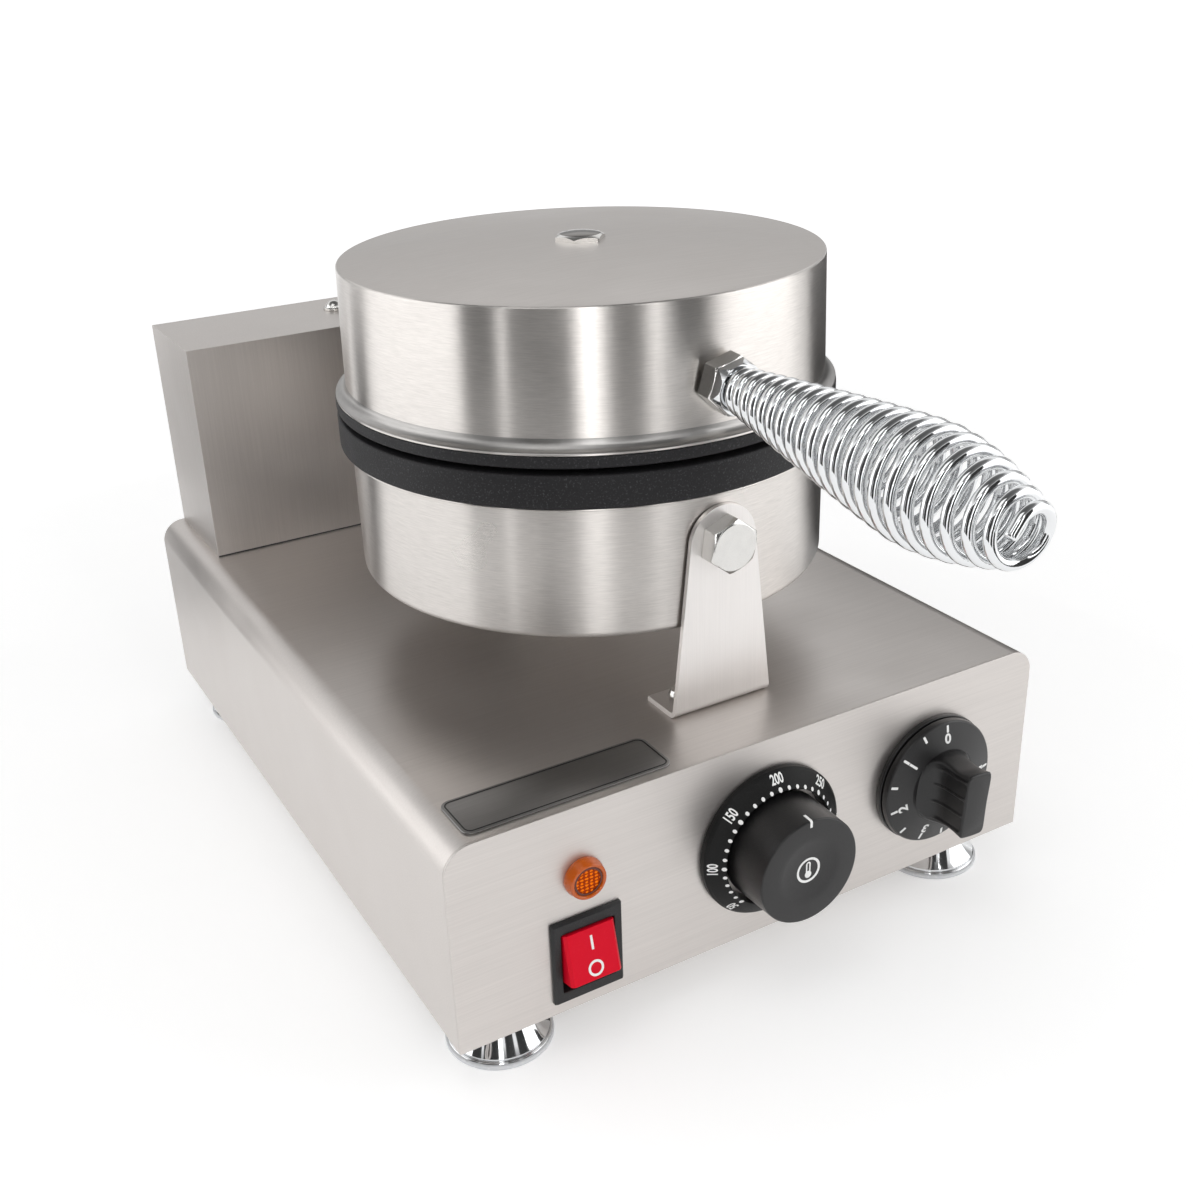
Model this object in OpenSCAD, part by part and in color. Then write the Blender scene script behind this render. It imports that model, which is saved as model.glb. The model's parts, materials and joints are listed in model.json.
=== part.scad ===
// Thin waffle maker: folded sheet base, fixed lower drum and plate, hinged lid with a coil handle.
// Units are millimetres, +Z is up and the front panel faces -Y.

/* [Base] */
// Width of the base
base_w = 270; // [250:1:320]
// Depth of the base
base_d = 355; // [340:1:420]
// Height of the base above its feet
base_h = 87; // [84:1:110]
// Outside radius of the two long bends
bend_r = 11; // [5:0.5:16]
// Thickness of the stainless sheet
sheet = 1; // [0.8:0.1:1.4]
// Height of the feet
foot_h = 20; // [17:1:30]
// Radius of a foot at the floor
foot_r = 21; // [16:0.5:24]
// Distance from the base's sides to the feet's centres
foot_inset_x = 26.5; // [26:0.5:40]
// Distance from the base's front and back to the feet's centres
foot_inset_y = 24; // [22:0.5:50]

/* [Plates and drums] */
// Diameter of the two cooking plates
plate_d = 205; // [190:1:220]
// Thickness of the lower plate at its rim
lower_plate_t = 13; // [11:0.5:16]
// Thickness of the upper plate at its rim
upper_plate_t = 4.8; // [4.5:0.1:9]
// Gap between the two rims when the lid is closed
plate_gap = 2.3; // [1:0.1:3.5]
// Depth of the hollow in each plate
recess = 2.6; // [2:0.1:3.5]
// Height of the waffle ridges
ridge_h = 1.8; // [1:0.1:1.9]
// Width of a waffle ridge
ridge_w = 3; // [2:0.25:4]
// Distance between waffle ridges
ridge_pitch = 11; // [9:0.5:16]
// Step from the plates' rim in to the drum walls
drum_step = 4.5; // [4:0.25:9]
// Height of the lower drum
drum_h = 53.6; // [48:0.2:70]
// Clear height under the lower drum
drum_gap = 36; // [30:1:50]
// Distance from the front panel to the drum's axis
drum_setback = 131; // [126:1:134]
// Height of the lid's shell
lid_h = 51.4; // [50:0.1:70]

/* [Hinge] */
// Width of the hinge housing
housing_w = 246; // [200:1:248]
// Depth of the hinge housing
housing_d = 62; // [60:1:75]
// Height of the hinge housing
housing_h = 104.5; // [100:0.5:112]
// Distance from the base's back to the housing's back
housing_inset = 1.5; // [0:0.5:4]
// Distance from the housing's front to the hinge axis
pivot_setback = 22; // [20:0.5:24]
// Distance from the housing's top down to the hinge axis
pivot_drop = 25; // [23:0.5:28]
// Diameter of the hinge shaft
shaft_d = 12; // [10:0.5:14]
// Radial running clearance of the hinge
run_fit = 0.05; // [0.02:0.01:0.09]
// Thickness of a lid arm
arm_t = 6; // [5:0.5:8]
// Angle at which the lid meets its stop
lid_open = 100; // [90:1:105]

/* [Handle] */
// Height of the handle above the lid's rim
handle_rise = 20.9; // [18:0.1:30]
// Angle by which the handle droops
handle_droop = 3.7; // [0:0.1:6]
// Diameter of the handle's wire
wire_d = 4.2; // [3.6:0.1:4.4]
// Number of curls
curls = 21; // [18:1:24]
// Distance between curls at the lid
pitch_root = 5.1; // [5:0.1:7]
// Extra distance between the widest curls
pitch_swell = 1.77; // [0:0.01:2.5]
// Turn of the first curl from the right-hand side
coil_phase = 140; // [0:5:355]
// Centre line radius of the coil at the lid
coil_root_r = 6.7; // [6.5:0.1:9]
// Centre line radius of the coil at its widest
coil_belly_r = 17.9; // [14:0.1:22]
// Centre line radius of the coil at its tip
coil_tip_r = 8.2; // [6:0.1:12]
// Place of the widest curl, as a share of the coil
coil_belly_at = 0.68; // [0.5:0.01:0.8]
// Diameter of the rod inside the coil
rod_d = 8; // [7:0.5:8]

/* [Brackets and bolts] */
// Width of a drum bracket at its foot
bracket_w = 45; // [36:1:60]
// Thickness of a drum bracket
bracket_t = 2; // [1.5:0.1:3]
// Length of a drum bracket's foot
bracket_foot = 19.6; // [18:0.2:26]
// Radius of a drum bracket's rounded top
bracket_r = 14.5; // [13:0.5:18]
// Height of the bracket bolts above the lower drum's bottom
bolt_rise = 33.5; // [28:0.5:36]
// Diameter of the bracket bolts
bolt_d = 12; // [10:1:12]
// Width across flats of the big hexagons
hex_af = 19; // [17:0.5:20]

/* [Controls] */
// Distance between the controls along the front panel
control_pitch = 82; // [78:0.2:90]
// Height of the two dials above the base's bottom
dial_rise = 42.7; // [40:0.1:50]
// Radius of the thermostat's scale ring
scale_r = 31.8; // [30:0.2:36]
// Radius of the thermostat's knob
knob_r = 22.2; // [20:0.2:24]
// Distance from the panel to the thermostat knob's face
knob_out = 26; // [22:0.5:32]
// Radius of the timer's skirt
skirt_r = 27.6; // [26:0.2:33]
// Distance from the panel to the timer grip's face
grip_out = 27.5; // [22:0.5:32]
// Radius of the timer's grip at the skirt
grip_r = 16; // [14:0.2:19]
// Clockwise angle from the top to the timer's zero mark
timer_start = 4.7; // [0:0.1:10]
// Width of the timer's grip
grip_w = 11; // [9:0.5:14]
// Height of the lamp above the base's bottom
lamp_rise = 57.2; // [56:0.2:64]
// Radius of the lamp's lens
lamp_r = 8; // [7:0.1:10]
// Height of the switch above the base's bottom
switch_rise = 23.4; // [22:0.1:28]
// Width of the switch's frame
switch_w = 29.6; // [28:0.1:34]
// Height of the switch's frame
switch_h = 36; // [34:0.5:39]
// Width of the rocker
rocker_w = 21.2; // [18:0.2:23]
// Height of the rocker
rocker_h = 20.4; // [19:0.2:23]
// Tilt of the rocker from its middle position
rocker_tilt = 14; // [9:0.5:15]

/* [Fittings] */
// Radius of the cord's bore through the gland
gland_bore_r = 4.7; // [3.5:0.1:6]
// Distance that the gland stands out of the rear panel
gland_out = 14; // [10:0.5:20]
// Length of the bare badge plate
badge_w = 84; // [60:1:100]
// Width of the bare badge plate
badge_d = 23; // [12:1:26]

/* [Hidden] */
$fn = 72;

// Clearances
fit = 0.2;
hole_fit = 0.2;
seat = 0.3;

// Drums and plates, from the floor up
plate_r = plate_d / 2;
drum_r = plate_r - drum_step;
z_base = foot_h;
z_top = z_base + base_h;
z_drum = z_top + drum_gap;
z_lip = z_drum + drum_h;
z_low = z_lip + lower_plate_t;
z_up = z_low + plate_gap;
z_lid = z_up + upper_plate_t;
z_crown = z_lid + lid_h;
lip_r = plate_r - 1;
plug_h = 6.5;
plug_r = drum_r - sheet - seat;
plate_chamfer = 0.8;
rim_w = 7;
hollow_r = plate_r - rim_w;
flare_r = drum_step - 0.3;
flare_top = z_lid + sheet + flare_r;
crown_r = 2;
drum_corner = 3;
z_bolt = z_drum + bolt_rise;
bolt_head = 7.5;
nut_t = 7;
nut_bow = sagitta(drum_r - sheet, hex_af / 2 / cos(30)) + 0.05;

// Coil handle: centre line points in the handle's own frame, where +Z runs outwards
// The nut stands off by what its upper edge gains from the droop
nut_seat = hex_af / 2 / cos(30) * sin(handle_droop) + 0.1;
nut_h = 7.5;
collar_h = 4.3;
collar_end = nut_seat + nut_h + collar_h;
coil_start = collar_end + wire_d / 2 + 0.05 - wire_d;
rings_per_curl = 8;
wire_sides = 6;
pitch_arc = 150;
coil_rings = curls * rings_per_curl;
function coil_z(t) = pitch_root * t
    + pitch_swell * curls / pitch_arc * 180 / PI * (1 - cos(pitch_arc * t / curls));
coil_len = coil_z(curls);
function coil_swell(u) = u < coil_belly_at
    ? coil_root_r + (coil_belly_r - coil_root_r) * (1 - pow(1 - u / coil_belly_at, 1.15))
    : coil_tip_r + (coil_belly_r - coil_tip_r) * cos(90 * (u - coil_belly_at) / (1 - coil_belly_at));
function coil_point(t) = let (r = coil_swell(coil_z(t) / coil_len), a = coil_phase + 360 * t)
    [r * cos(a), r * sin(a), coil_start + wire_d + coil_z(t)];
coil_curve = [for (i = [0:coil_rings]) coil_point(i / rings_per_curl)];
coil_end = coil_curve[coil_rings];
coil_path = concat([coil_curve[0] - [0, 0, wire_d]], coil_curve,
    [coil_end + wire_d * unit(coil_end - coil_curve[coil_rings - 1])]);
// Least gap between places on the wire that are more than half a curl apart
coil_gap = min([for (i = [0:coil_rings - rings_per_curl], j = [i + 5:min(i + 12, coil_rings)])
    norm(coil_curve[j] - coil_curve[i])]) - wire_d;
handle_reach = max([for (p = coil_path) p[2] * cos(handle_droop) + p[1] * sin(handle_droop)])
    + wire_d / 2;
echo(coil_gap = coil_gap);

// The origin is on the floor, under the middle of the whole length
overhang = handle_reach + drum_r - drum_setback;
base_front = overhang - (overhang + base_d + gland_out) / 2;
base_back = base_front + base_d;
drum_y = base_front + drum_setback;
lid_front = drum_y - drum_r;
z_handle = z_lid + handle_rise;

// Base
panel_flange = 12;
shell_flange = 14;
screw_d = 4;
screw_l = 8;
bottom_w = base_w - 4 * sheet - 6 * fit;
foot_neck_r = 10.8;
foot_lip = 0.8;
foot_wall = 1.4;
pad_t = 1.8;
pad_w = 9;
foot_floor = 2.4;
foot_bolt_af = 10;
foot_bolt_r = 3;
foot_bolt_head = 4;
foot_nut = 5;
foot_x = base_w / 2 - foot_inset_x;
foot_ys = [base_front + foot_inset_y, base_back - foot_inset_y];
vent_w = 3;
vent_l = 34;
vent_pitch = 9;
vent_x = -0.2 * base_w;
side_screw_x = base_w / 2 - shell_flange / 2;
side_screw_ys = [for (i = [0:2]) base_front + 60 + i * (base_d - 120) / 2];
gland_x = 0.33 * base_w;
gland_z = z_base + 30;
gland_thread_r = gland_bore_r + 3;
gland_af = 21;
gland_nut = 5;
rear_screws = [for (s = [-1, 1], z = [z_base + 14, z_top - 20]) [s * (base_w / 2 - 20), z]];

// Hinge
housing_front = base_back - housing_inset - housing_d;
housing_rear = base_back - housing_inset;
z_housing = z_top + housing_h;
back_screws = [for (s = [-1, 1], z = [z_top + 14, z_housing - 14]) [s * (housing_w / 2 - 7), z]];
pivot_y = housing_front + pivot_setback;
z_pivot = z_housing - pivot_drop;
arm_x = 16;
arm_bar = 16;
boss_r = 13;
boss_w = 10;
bush_r = shaft_d / 2 + 1.5;
arm_gap = 4;
arm_front = drum_y + plate_r + arm_gap;
saddle_w = 44;
saddle_h = 22;
saddle_z = flare_top + 5.7;
saddle_screw_r = 3;
saddle_screws = [for (s = [-1, 1], z = [5.5, saddle_h - 5.5]) [s * 7, saddle_z + z]];
frame_t = 4;
frame_in = 24;
frame_foot_t = 3;
frame_top_w = 22;
frame_front = housing_front + sheet + seat;
frame_back = housing_rear - sheet - seat;
frame_mid = (frame_front + frame_back) / 2;
frame_top = z_housing - sheet;
dome_r = 5;
dome_screw_r = 3;
dome_screw_l = 12;
dome_x = frame_in + frame_t + 8;
dome_y = pivot_y + 14.5;
stop_r = 4;
stop_off = arm_bar / 2 + stop_r + seat;
stop_along = 14.5;
rest_stop_y = pivot_y - stop_along;
rest_stop_z = z_pivot - stop_off;
open_along = 17;
open_stop_y = pivot_y + stop_off * sin(lid_open) - open_along * cos(lid_open);
open_stop_z = z_pivot + stop_off * cos(lid_open) + open_along * sin(lid_open);
slot_w = arm_t + 4;
slot_back = pivot_y + arm_bar / 2 + 7.5;

// Screws through the top of the base: two in each bracket's foot, four in the hinge frame
bracket_front = drum_r + fit + bracket_t;
bracket_screw_x = 11.5;
bracket_screw_in = 14.3;
frame_screw_x = 14;
frame_screw_y = 12;
bracket_screws = [for (sx = [-1, 1], sy = [-1, 1])
    [sx * bracket_screw_x, drum_y + sy * (bracket_front - bracket_screw_in)]];
frame_screws = [for (sx = [-1, 1], sy = [-1, 1]) [sx * frame_screw_x, frame_mid + sy * frame_screw_y]];

// Inside the drums and the handle
stud_r = 6;
tie_r = 4;
tie_in = 5.5;
tie_out = 9;
tie_af = 13;
heater_r = 48;
heater_tube = 4;
heater_span = 330;
pin_r = 1.6;
pin_l = 16;
pin_in = 4;
heater_h = 2 * heater_tube + fit;
wool_r = drum_r - 12;
conduit_y = drum_y + 64;
conduit_r = 7.5;
conduit_wall = 1.5;
conduit_nut = 4;
conduit_af = 21;
conduit_end = 8;
bulb_r = 3;
bulb_l = 50;
tube_r = 1;
tube_out = 12;
tube_low = 20;
rod_in_coil = 38;

// Controls
dial_z = z_base + dial_rise;
thermo_x = 0;
timer_x = control_pitch;
switch_x = -control_pitch;
switch_z = z_base + switch_rise;
lamp_z = z_base + lamp_rise;
ring_edge = 2.4;
ring_low = 3.6;
ring_high = 7.8;
ring_bevel = 1;
knob_gap = 2.4;
knob_back = 4;
knob_round = 1.2;
dish_r = 0.62 * knob_r;
dish_h = 0.8;
dish_sphere_r = (dish_r * dish_r + dish_h * dish_h) / (2 * dish_h);
skirt_back = 3;
skirt_face = 6;
skirt_hub = 8.5;
grip_waist = 0.82;
backing_t = 2.2;
spindle_r = 3;
neck_r = spindle_r + 1.8;
spindle_in = 14;
thermo_body = [40, 34, 26];
timer_body_r = 24;
timer_body_l = 28;
lamp_out = 4.6;
lamp_rim = 2;
lamp_neck_r = 0.7 * lamp_r;
lamp_body_l = 26;
frame_out = 2;
switch_body = [switch_w - 4, switch_h - 6, 22];
rocker_deep = 6;
rocker_pin_r = 1.5;
rocker_side = 8.5;
rocker_hole = 16;
window_w = rocker_w + 1;
window_h = rocker_h + 5.6;
rocker_front = rocker_deep + 6;
rocker_bevel = 1.2;
block = [42, 20, 18];
block_holes = 3;
block_in = 60;
badge_t = 0.8;
badge_in = 4.3;
badge_round = 4;

// Height of an arc of radius r over its chord of half length c
function sagitta(r, c) = r - sqrt(r * r - c * c);

// Unit vector along v
function unit(v) = v / norm(v);

// Extrudes a profile drawn in x and z along y, from y0 to y1
module along_y(y0, y1) {
    translate([0, y1, 0]) rotate([90, 0, 0]) linear_extrude(y1 - y0) children();
}

// Puts children on the front panel: local +Z points at the cook and local +Y points up
module on_front(x, z) {
    translate([x, base_front, z]) rotate([90, 0, 0]) children();
}

// Round bar of radius r and length l across the machine, centred on x = 0
module across(y, z, r, l) {
    translate([0, y, z]) rotate([0, 90, 0]) cylinder(r = r, h = l, center = true);
}

// Puts children on the drum's axis
module on_drum(z = 0) {
    translate([0, drum_y, z]) children();
}

// Puts children on the handle's axis, with +Z running outwards
module on_handle() {
    translate([0, lid_front, z_handle]) rotate([90 + handle_droop, 0, 0]) children();
}

// Upright outline with a flat foot and two round upper corners
module arch(w, h, r) {
    translate([-w / 2, 0]) square([w, h - r]);
    translate([-w / 2 + r, 0]) square([w - 2 * r, h]);
    for (s = [-1, 1]) translate([s * (w / 2 - r), h - r]) circle(r);
}

// Rectangle with round corners, centred
module round_rect(w, h, r) {
    square([w - 2 * r, h], center = true);
    square([w, h - 2 * r], center = true);
    for (sx = [-1, 1], sy = [-1, 1]) translate([sx * (w / 2 - r), sy * (h / 2 - r)]) circle(r);
}

// Hexagon head or nut, chamfered on its upper side, with an optional bore
module hexagon(af, h, bore_r = 0) {
    difference() {
        intersection() {
            cylinder(d = af / cos(30), h = h, $fn = 6);
            cylinder(r1 = 0.48 * af + 1.6 * h, r2 = 0.48 * af, h = h);
        }
        if (bore_r > 0) translate([0, 0, -1]) cylinder(r = bore_r, h = h + 2);
    }
}

// Pan head screw, its head above z = 0 and its shank below
module pan_screw(d, shank) {
    cylinder(r1 = d, r2 = 0.75 * d, h = 0.6 * d);
    translate([0, 0, -shank]) cylinder(r = d / 2, h = shank);
}

// Holes of radius r at places in x and y, through height h from z
module holes(places, r, z, h) {
    for (p = places) translate([p[0], p[1], z]) cylinder(r = r, h = h);
}

// Half outline of a cup with rounded lower corner, closed at y = 0
module cup_outline(r, h, corner) {
    square([r - corner, h]);
    translate([0, corner]) square([r, h - corner]);
    translate([r - corner, corner]) circle(corner);
}

// Half section of a sheet cup, open at y = h
module cup(r, h, corner) {
    difference() {
        cup_outline(r, h, corner);
        translate([0, sheet]) cup_outline(r - sheet, h, corner - sheet);
    }
}

// Tube swept along points, closed at both ends, its faces all triangles
module wire(path, r, sides) {
    n = len(path);
    tangents = [for (i = [0:n - 1]) unit(path[min(i + 1, n - 1)] - path[max(i - 1, 0)])];
    // Each ring is turned so that one corner points away from the coil's axis
    rings = [for (i = [0:n - 1])
        let (t = tangents[i],
            out = [path[i][0], path[i][1], 0],
            side = unit(out - t * (out * t)),
            up = cross(t, side))
        for (k = [0:sides - 1]) path[i] + r * (cos(360 * k / sides) * side + sin(360 * k / sides) * up)];
    tips = [path[0], path[n - 1]];
    walls = [for (i = [0:n - 2], k = [0:sides - 1])
        let (a = i * sides + k, b = i * sides + (k + 1) % sides)
        each [[a, a + sides, b], [b, a + sides, b + sides]]];
    caps = [for (k = [0:sides - 1])
        let (last = (n - 1) * sides)
        each [[n * sides, k, (k + 1) % sides], [n * sides + 1, last + (k + 1) % sides, last + k]]];
    polyhedron(points = concat(rings, tips), faces = concat(walls, caps));
}

// Long bends on the left and right, with a turned-in flange along each lower edge
module base_shell() {
    flange_d = base_d - 2 * (panel_flange + 4);
    color("silver") difference() {
        union() {
            along_y(base_front + sheet, base_back - sheet) translate([0, z_base]) difference() {
                arch(base_w, base_h, bend_r);
                translate([0, -sheet]) arch(base_w - 2 * sheet, base_h, bend_r - sheet);
            }
            for (s = [-1, 1]) mirror([s > 0 ? 1 : 0, 0, 0])
                translate([-base_w / 2 + sheet / 2, (base_front + base_back - flange_d) / 2, z_base])
                    cube([shell_flange, flange_d, sheet]);
        }
        holes(concat(bracket_screws, frame_screws), screw_d / 2 + hole_fit, z_top - 2 * sheet, 3 * sheet);
        holes([[0, conduit_y]], conduit_r + hole_fit, z_top - 2 * sheet, 3 * sheet);
        holes([for (s = [-1, 1], y = side_screw_ys) [s * side_screw_x, y]], screw_d / 2 + hole_fit,
            z_base - sheet, 3 * sheet);
    }
}

// Panel that closes one end of the base: a plate with a flange that goes inside the shell
module end_panel(y_out, dir) {
    inner = y_out + dir * sheet;
    flange_end = inner + dir * panel_flange;
    inside = sheet + fit;
    translate([0, 0, z_base]) {
        along_y(min(y_out, inner), max(y_out, inner)) arch(base_w, base_h, bend_r);
        along_y(min(inner, flange_end), max(inner, flange_end)) difference() {
            arch(base_w - 2 * inside, base_h - inside, bend_r - inside);
            translate([0, -sheet]) arch(base_w - 2 * (inside + sheet), base_h - inside,
                bend_r - inside - sheet);
        }
    }
}

module front_panel() {
    color("gainsboro") difference() {
        end_panel(base_front, 1);
        for (x = [thermo_x, timer_x]) on_front(x, dial_z) translate([0, 0, -2 * sheet])
            cylinder(r = neck_r + hole_fit, h = 3 * sheet);
        on_front(switch_x, lamp_z) translate([0, 0, -2 * sheet])
            cylinder(r = lamp_neck_r + hole_fit, h = 3 * sheet);
        on_front(switch_x, switch_z)
            cube([switch_body[0] + 2 * hole_fit, switch_body[1] + 2 * hole_fit, 4 * sheet], center = true);
    }
}

module rear_panel() {
    color("silver") difference() {
        end_panel(base_back, -1);
        translate([gland_x, base_back + sheet, gland_z]) rotate([90, 0, 0])
            cylinder(r = gland_thread_r + hole_fit, h = 3 * sheet);
        for (i = [-4:4]) translate([vent_x + i * vent_pitch - vent_w / 2, base_back - 2 * sheet,
            z_base + (base_h - vent_l) / 2]) cube([vent_w, 3 * sheet, vent_l]);
        for (p = rear_screws) translate([p[0], base_back + sheet, p[1]]) rotate([90, 0, 0])
            cylinder(r = screw_d / 2 + hole_fit, h = 3 * sheet);
    }
}

module bottom_plate() {
    color("silver") difference() {
        translate([-bottom_w / 2, base_front + sheet + seat, z_base + sheet])
            cube([bottom_w, base_d - 2 * sheet - 2 * seat, sheet]);
        holes([for (s = [-1, 1], y = foot_ys) [s * foot_x, y]], foot_bolt_r + hole_fit, z_base, 3 * sheet);
        holes([for (s = [-1, 1], y = side_screw_ys) [s * side_screw_x, y]], screw_d / 2 + hole_fit,
            z_base, 3 * sheet);
        for (i = [-5:5]) translate([i * vent_pitch - vent_w / 2, drum_y - vent_l, z_base])
            cube([vent_w, 2 * vent_l, 3 * sheet]);
    }
}

// One bell-shaped foot, hollow underneath; its side follows a power curve from lip to neck
module foot_bell() {
    top = foot_h + sheet;
    steps = 9;
    bell_r = foot_r - foot_lip;
    curve_low = pad_t + 1.6;
    curve_high = top - 1.6;
    function side(u, inset) = [foot_neck_r - inset + (bell_r - foot_neck_r) * pow(1 - u, 1.9),
        curve_low + u * (curve_high - curve_low)];
    rotate_extrude() difference() {
        polygon(concat([[0, pad_t], [bell_r, pad_t]], [for (i = [0:steps]) side(i / steps, 0)],
            [[foot_neck_r, top], [0, top]]));
        polygon(concat([[0, 0], [bell_r - foot_wall, 0]],
            [for (i = [0:steps - 1]) side(i / steps, foot_wall)],
            [[foot_neck_r - foot_wall, top - foot_floor], [0, top - foot_floor]]));
        square([foot_bolt_r + fit / 2, 2 * top]);
    }
}

module feet() {
    color("lightgray") for (s = [-1, 1], y = foot_ys) translate([s * foot_x, y, 0]) foot_bell();
}

module foot_pads() {
    color("whitesmoke") for (s = [-1, 1], y = foot_ys) translate([s * foot_x, y, 0])
        rotate_extrude() translate([foot_r - pad_w, 0]) square([pad_w, pad_t]);
}

// Foot bolts with their nuts, and the screws of the bottom plate
module underside_screws() {
    color("dimgray") {
        for (s = [-1, 1], y = foot_ys) translate([s * foot_x, y, z_base]) {
            translate([0, 0, sheet - foot_floor]) mirror([0, 0, 1]) hexagon(foot_bolt_af, foot_bolt_head);
            translate([0, 0, sheet - foot_floor - 0.1])
                cylinder(r = foot_bolt_r, h = foot_floor + sheet + foot_nut + 2);
            translate([0, 0, 2 * sheet]) hexagon(foot_bolt_af, foot_nut, foot_bolt_r);
        }
        for (s = [-1, 1], y = side_screw_ys) translate([s * side_screw_x, y, z_base])
            mirror([0, 0, 1]) pan_screw(screw_d, screw_l);
    }
}

// Screws of the rear panel and of the housing's back cover
module cover_screws() {
    color("dimgray") {
        for (p = rear_screws) translate([p[0], base_back, p[1]]) rotate([-90, 0, 0])
            pan_screw(screw_d, screw_l);
        for (p = back_screws) translate([p[0], housing_rear, p[1]]) rotate([-90, 0, 0])
            pan_screw(screw_d, screw_l);
    }
}

// Small screws through the top of the base
module base_top_screws() {
    color("dimgray") {
        for (p = bracket_screws) translate([p[0], p[1], z_top + bracket_t]) pan_screw(screw_d, screw_l);
        for (p = frame_screws) translate([p[0], p[1], z_top + frame_foot_t]) pan_screw(screw_d, screw_l);
    }
}

// Cup with a rounded lower edge and an out-turned lip
module lower_drum() {
    color("lightgray") difference() {
        on_drum(z_drum) rotate_extrude() {
            cup(drum_r, drum_h, drum_corner);
            translate([drum_r - sheet, drum_h - sheet]) square([lip_r - drum_r + sheet, sheet]);
        }
        on_drum(z_bolt) rotate([90, 0, 0])
            cylinder(r = bolt_d / 2 + hole_fit, h = 3 * drum_r, center = true);
        holes([[0, conduit_y]], conduit_r + hole_fit, z_drum - sheet, 3 * sheet);
        holes([[0, drum_y]], tie_r + hole_fit, z_drum - sheet, 3 * sheet);
    }
}

// Crossing ridges inside a circle
module waffle_grid(r) {
    count = floor(r / ridge_pitch);
    intersection() {
        circle(r);
        union() for (i = [-count:count]) {
            translate([i * ridge_pitch, 0]) square([ridge_w, 2 * r], center = true);
            translate([0, i * ridge_pitch]) square([2 * r, ridge_w], center = true);
        }
    }
}

// One cooking plate with its hollow upwards: rim top at z = 0, rim thickness t, plug below
module cooking_plate(t) {
    difference() {
        union() {
            rotate_extrude() polygon([[0, -t - plug_h], [plug_r, -t - plug_h], [plug_r, -t],
                [plate_r - plate_chamfer, -t], [plate_r, -t + plate_chamfer],
                [plate_r, -plate_chamfer], [plate_r - plate_chamfer, 0], [hollow_r, 0],
                [hollow_r, -recess], [0, -recess]]);
            translate([0, 0, -recess - sheet]) linear_extrude(ridge_h + sheet) waffle_grid(hollow_r + sheet);
        }
        translate([0, 0, -t - plug_h - sheet]) cylinder(r = tie_r + fit / 2, h = tie_in + sheet + fit);
    }
}

module lower_plate() {
    color("dimgray") on_drum(z_low) cooking_plate(lower_plate_t);
}

module upper_plate() {
    color("dimgray") on_drum(z_up) mirror([0, 0, 1]) cooking_plate(upper_plate_t);
}

// Tubular ring with its two pins, standing on z = 0 with the pins downwards
module heater() {
    translate([0, 0, heater_tube]) rotate_extrude(angle = heater_span)
        translate([heater_r, 0]) circle(heater_tube);
    for (a = [pin_in, heater_span - pin_in]) rotate(a) translate([heater_r, 0, heater_tube - pin_l])
        cylinder(r = pin_r, h = pin_l);
}

module lower_heater() {
    color("darkred") on_drum(z_lip - plug_h - heater_h) heater();
}

module upper_heater() {
    color("darkred") on_drum(z_lid + plug_h + heater_h) mirror([0, 0, 1]) heater();
}

// Disc of ceramic wool with holes for the stud and the heater's pins, and one for the conduit
module wool(h, stud_hole_r, conduit_hole_r) {
    difference() {
        cylinder(r = wool_r, h = h);
        holes([[0, 0]], stud_hole_r, -1, h + 2);
        if (conduit_hole_r > 0) holes([[0, conduit_y - drum_y]], conduit_hole_r, -1, h + 2);
        for (a = [pin_in, heater_span - pin_in]) rotate(a) holes([[heater_r, 0]], pin_r + 1, -1, h + 2);
    }
}

module lower_insulation() {
    bottom = z_drum + sheet;
    color("antiquewhite") on_drum(bottom)
        wool(z_lip - plug_h - heater_h - seat - bottom, tie_r + 2, conduit_r + 7);
}

module upper_insulation() {
    bottom = z_lid + plug_h + heater_h + seat;
    color("antiquewhite") on_drum(bottom) wool(z_crown - sheet - seat - bottom, stud_r + 2, 0);
}

// Stud that ties the lower plate to its drum, with its nut under the drum
module lower_tie() {
    color("dimgray") on_drum(z_drum) {
        translate([0, 0, -tie_out]) cylinder(r = tie_r, h = drum_h - plug_h + tie_in + tie_out);
        mirror([0, 0, 1]) hexagon(tie_af, tie_out - 2.5, tie_r);
    }
}

// Bent bracket in front of the drum, drawn with the drum's axis as its origin
module bracket() {
    y_out = -bracket_front;
    rise = z_bolt - z_top;
    bend = bracket_t + 1.5;
    half = bracket_w / 2;
    lean = acos(bracket_r / norm([half, rise])) - atan(rise / half);
    shoulder = [bracket_r * cos(lean), rise + bracket_r * sin(lean)];
    difference() {
        intersection() {
            translate([-bracket_w, 0, z_top]) rotate([90, 0, 90]) linear_extrude(2 * bracket_w) {
                translate([y_out, bend]) square([bracket_t, rise + 2 * bracket_r]);
                translate([y_out + bend, 0]) square([bracket_foot - bend, bracket_t]);
                intersection() {
                    translate([y_out, 0]) square(bend);
                    translate([y_out + bend, bend]) difference() {
                        circle(bend);
                        circle(bend - bracket_t);
                    }
                }
            }
            along_y(y_out - 1, y_out + bracket_foot + 1) translate([0, z_top]) {
                polygon([[-half, 0], [half, 0], shoulder, [-shoulder[0], shoulder[1]]]);
                translate([0, rise]) circle(bracket_r);
            }
        }
        translate([0, y_out + 2 * bracket_t, z_bolt]) rotate([90, 0, 0])
            cylinder(r = bolt_d / 2 + hole_fit, h = 3 * bracket_t);
        holes([for (s = [-1, 1]) [s * bracket_screw_x, y_out + bracket_screw_in]],
            screw_d / 2 + hole_fit, z_top - 1, bracket_t + 2);
    }
}

module front_bracket() {
    color("silver") on_drum() bracket();
}

module rear_bracket() {
    color("silver") on_drum() mirror([0, 1, 0]) bracket();
}

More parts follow.
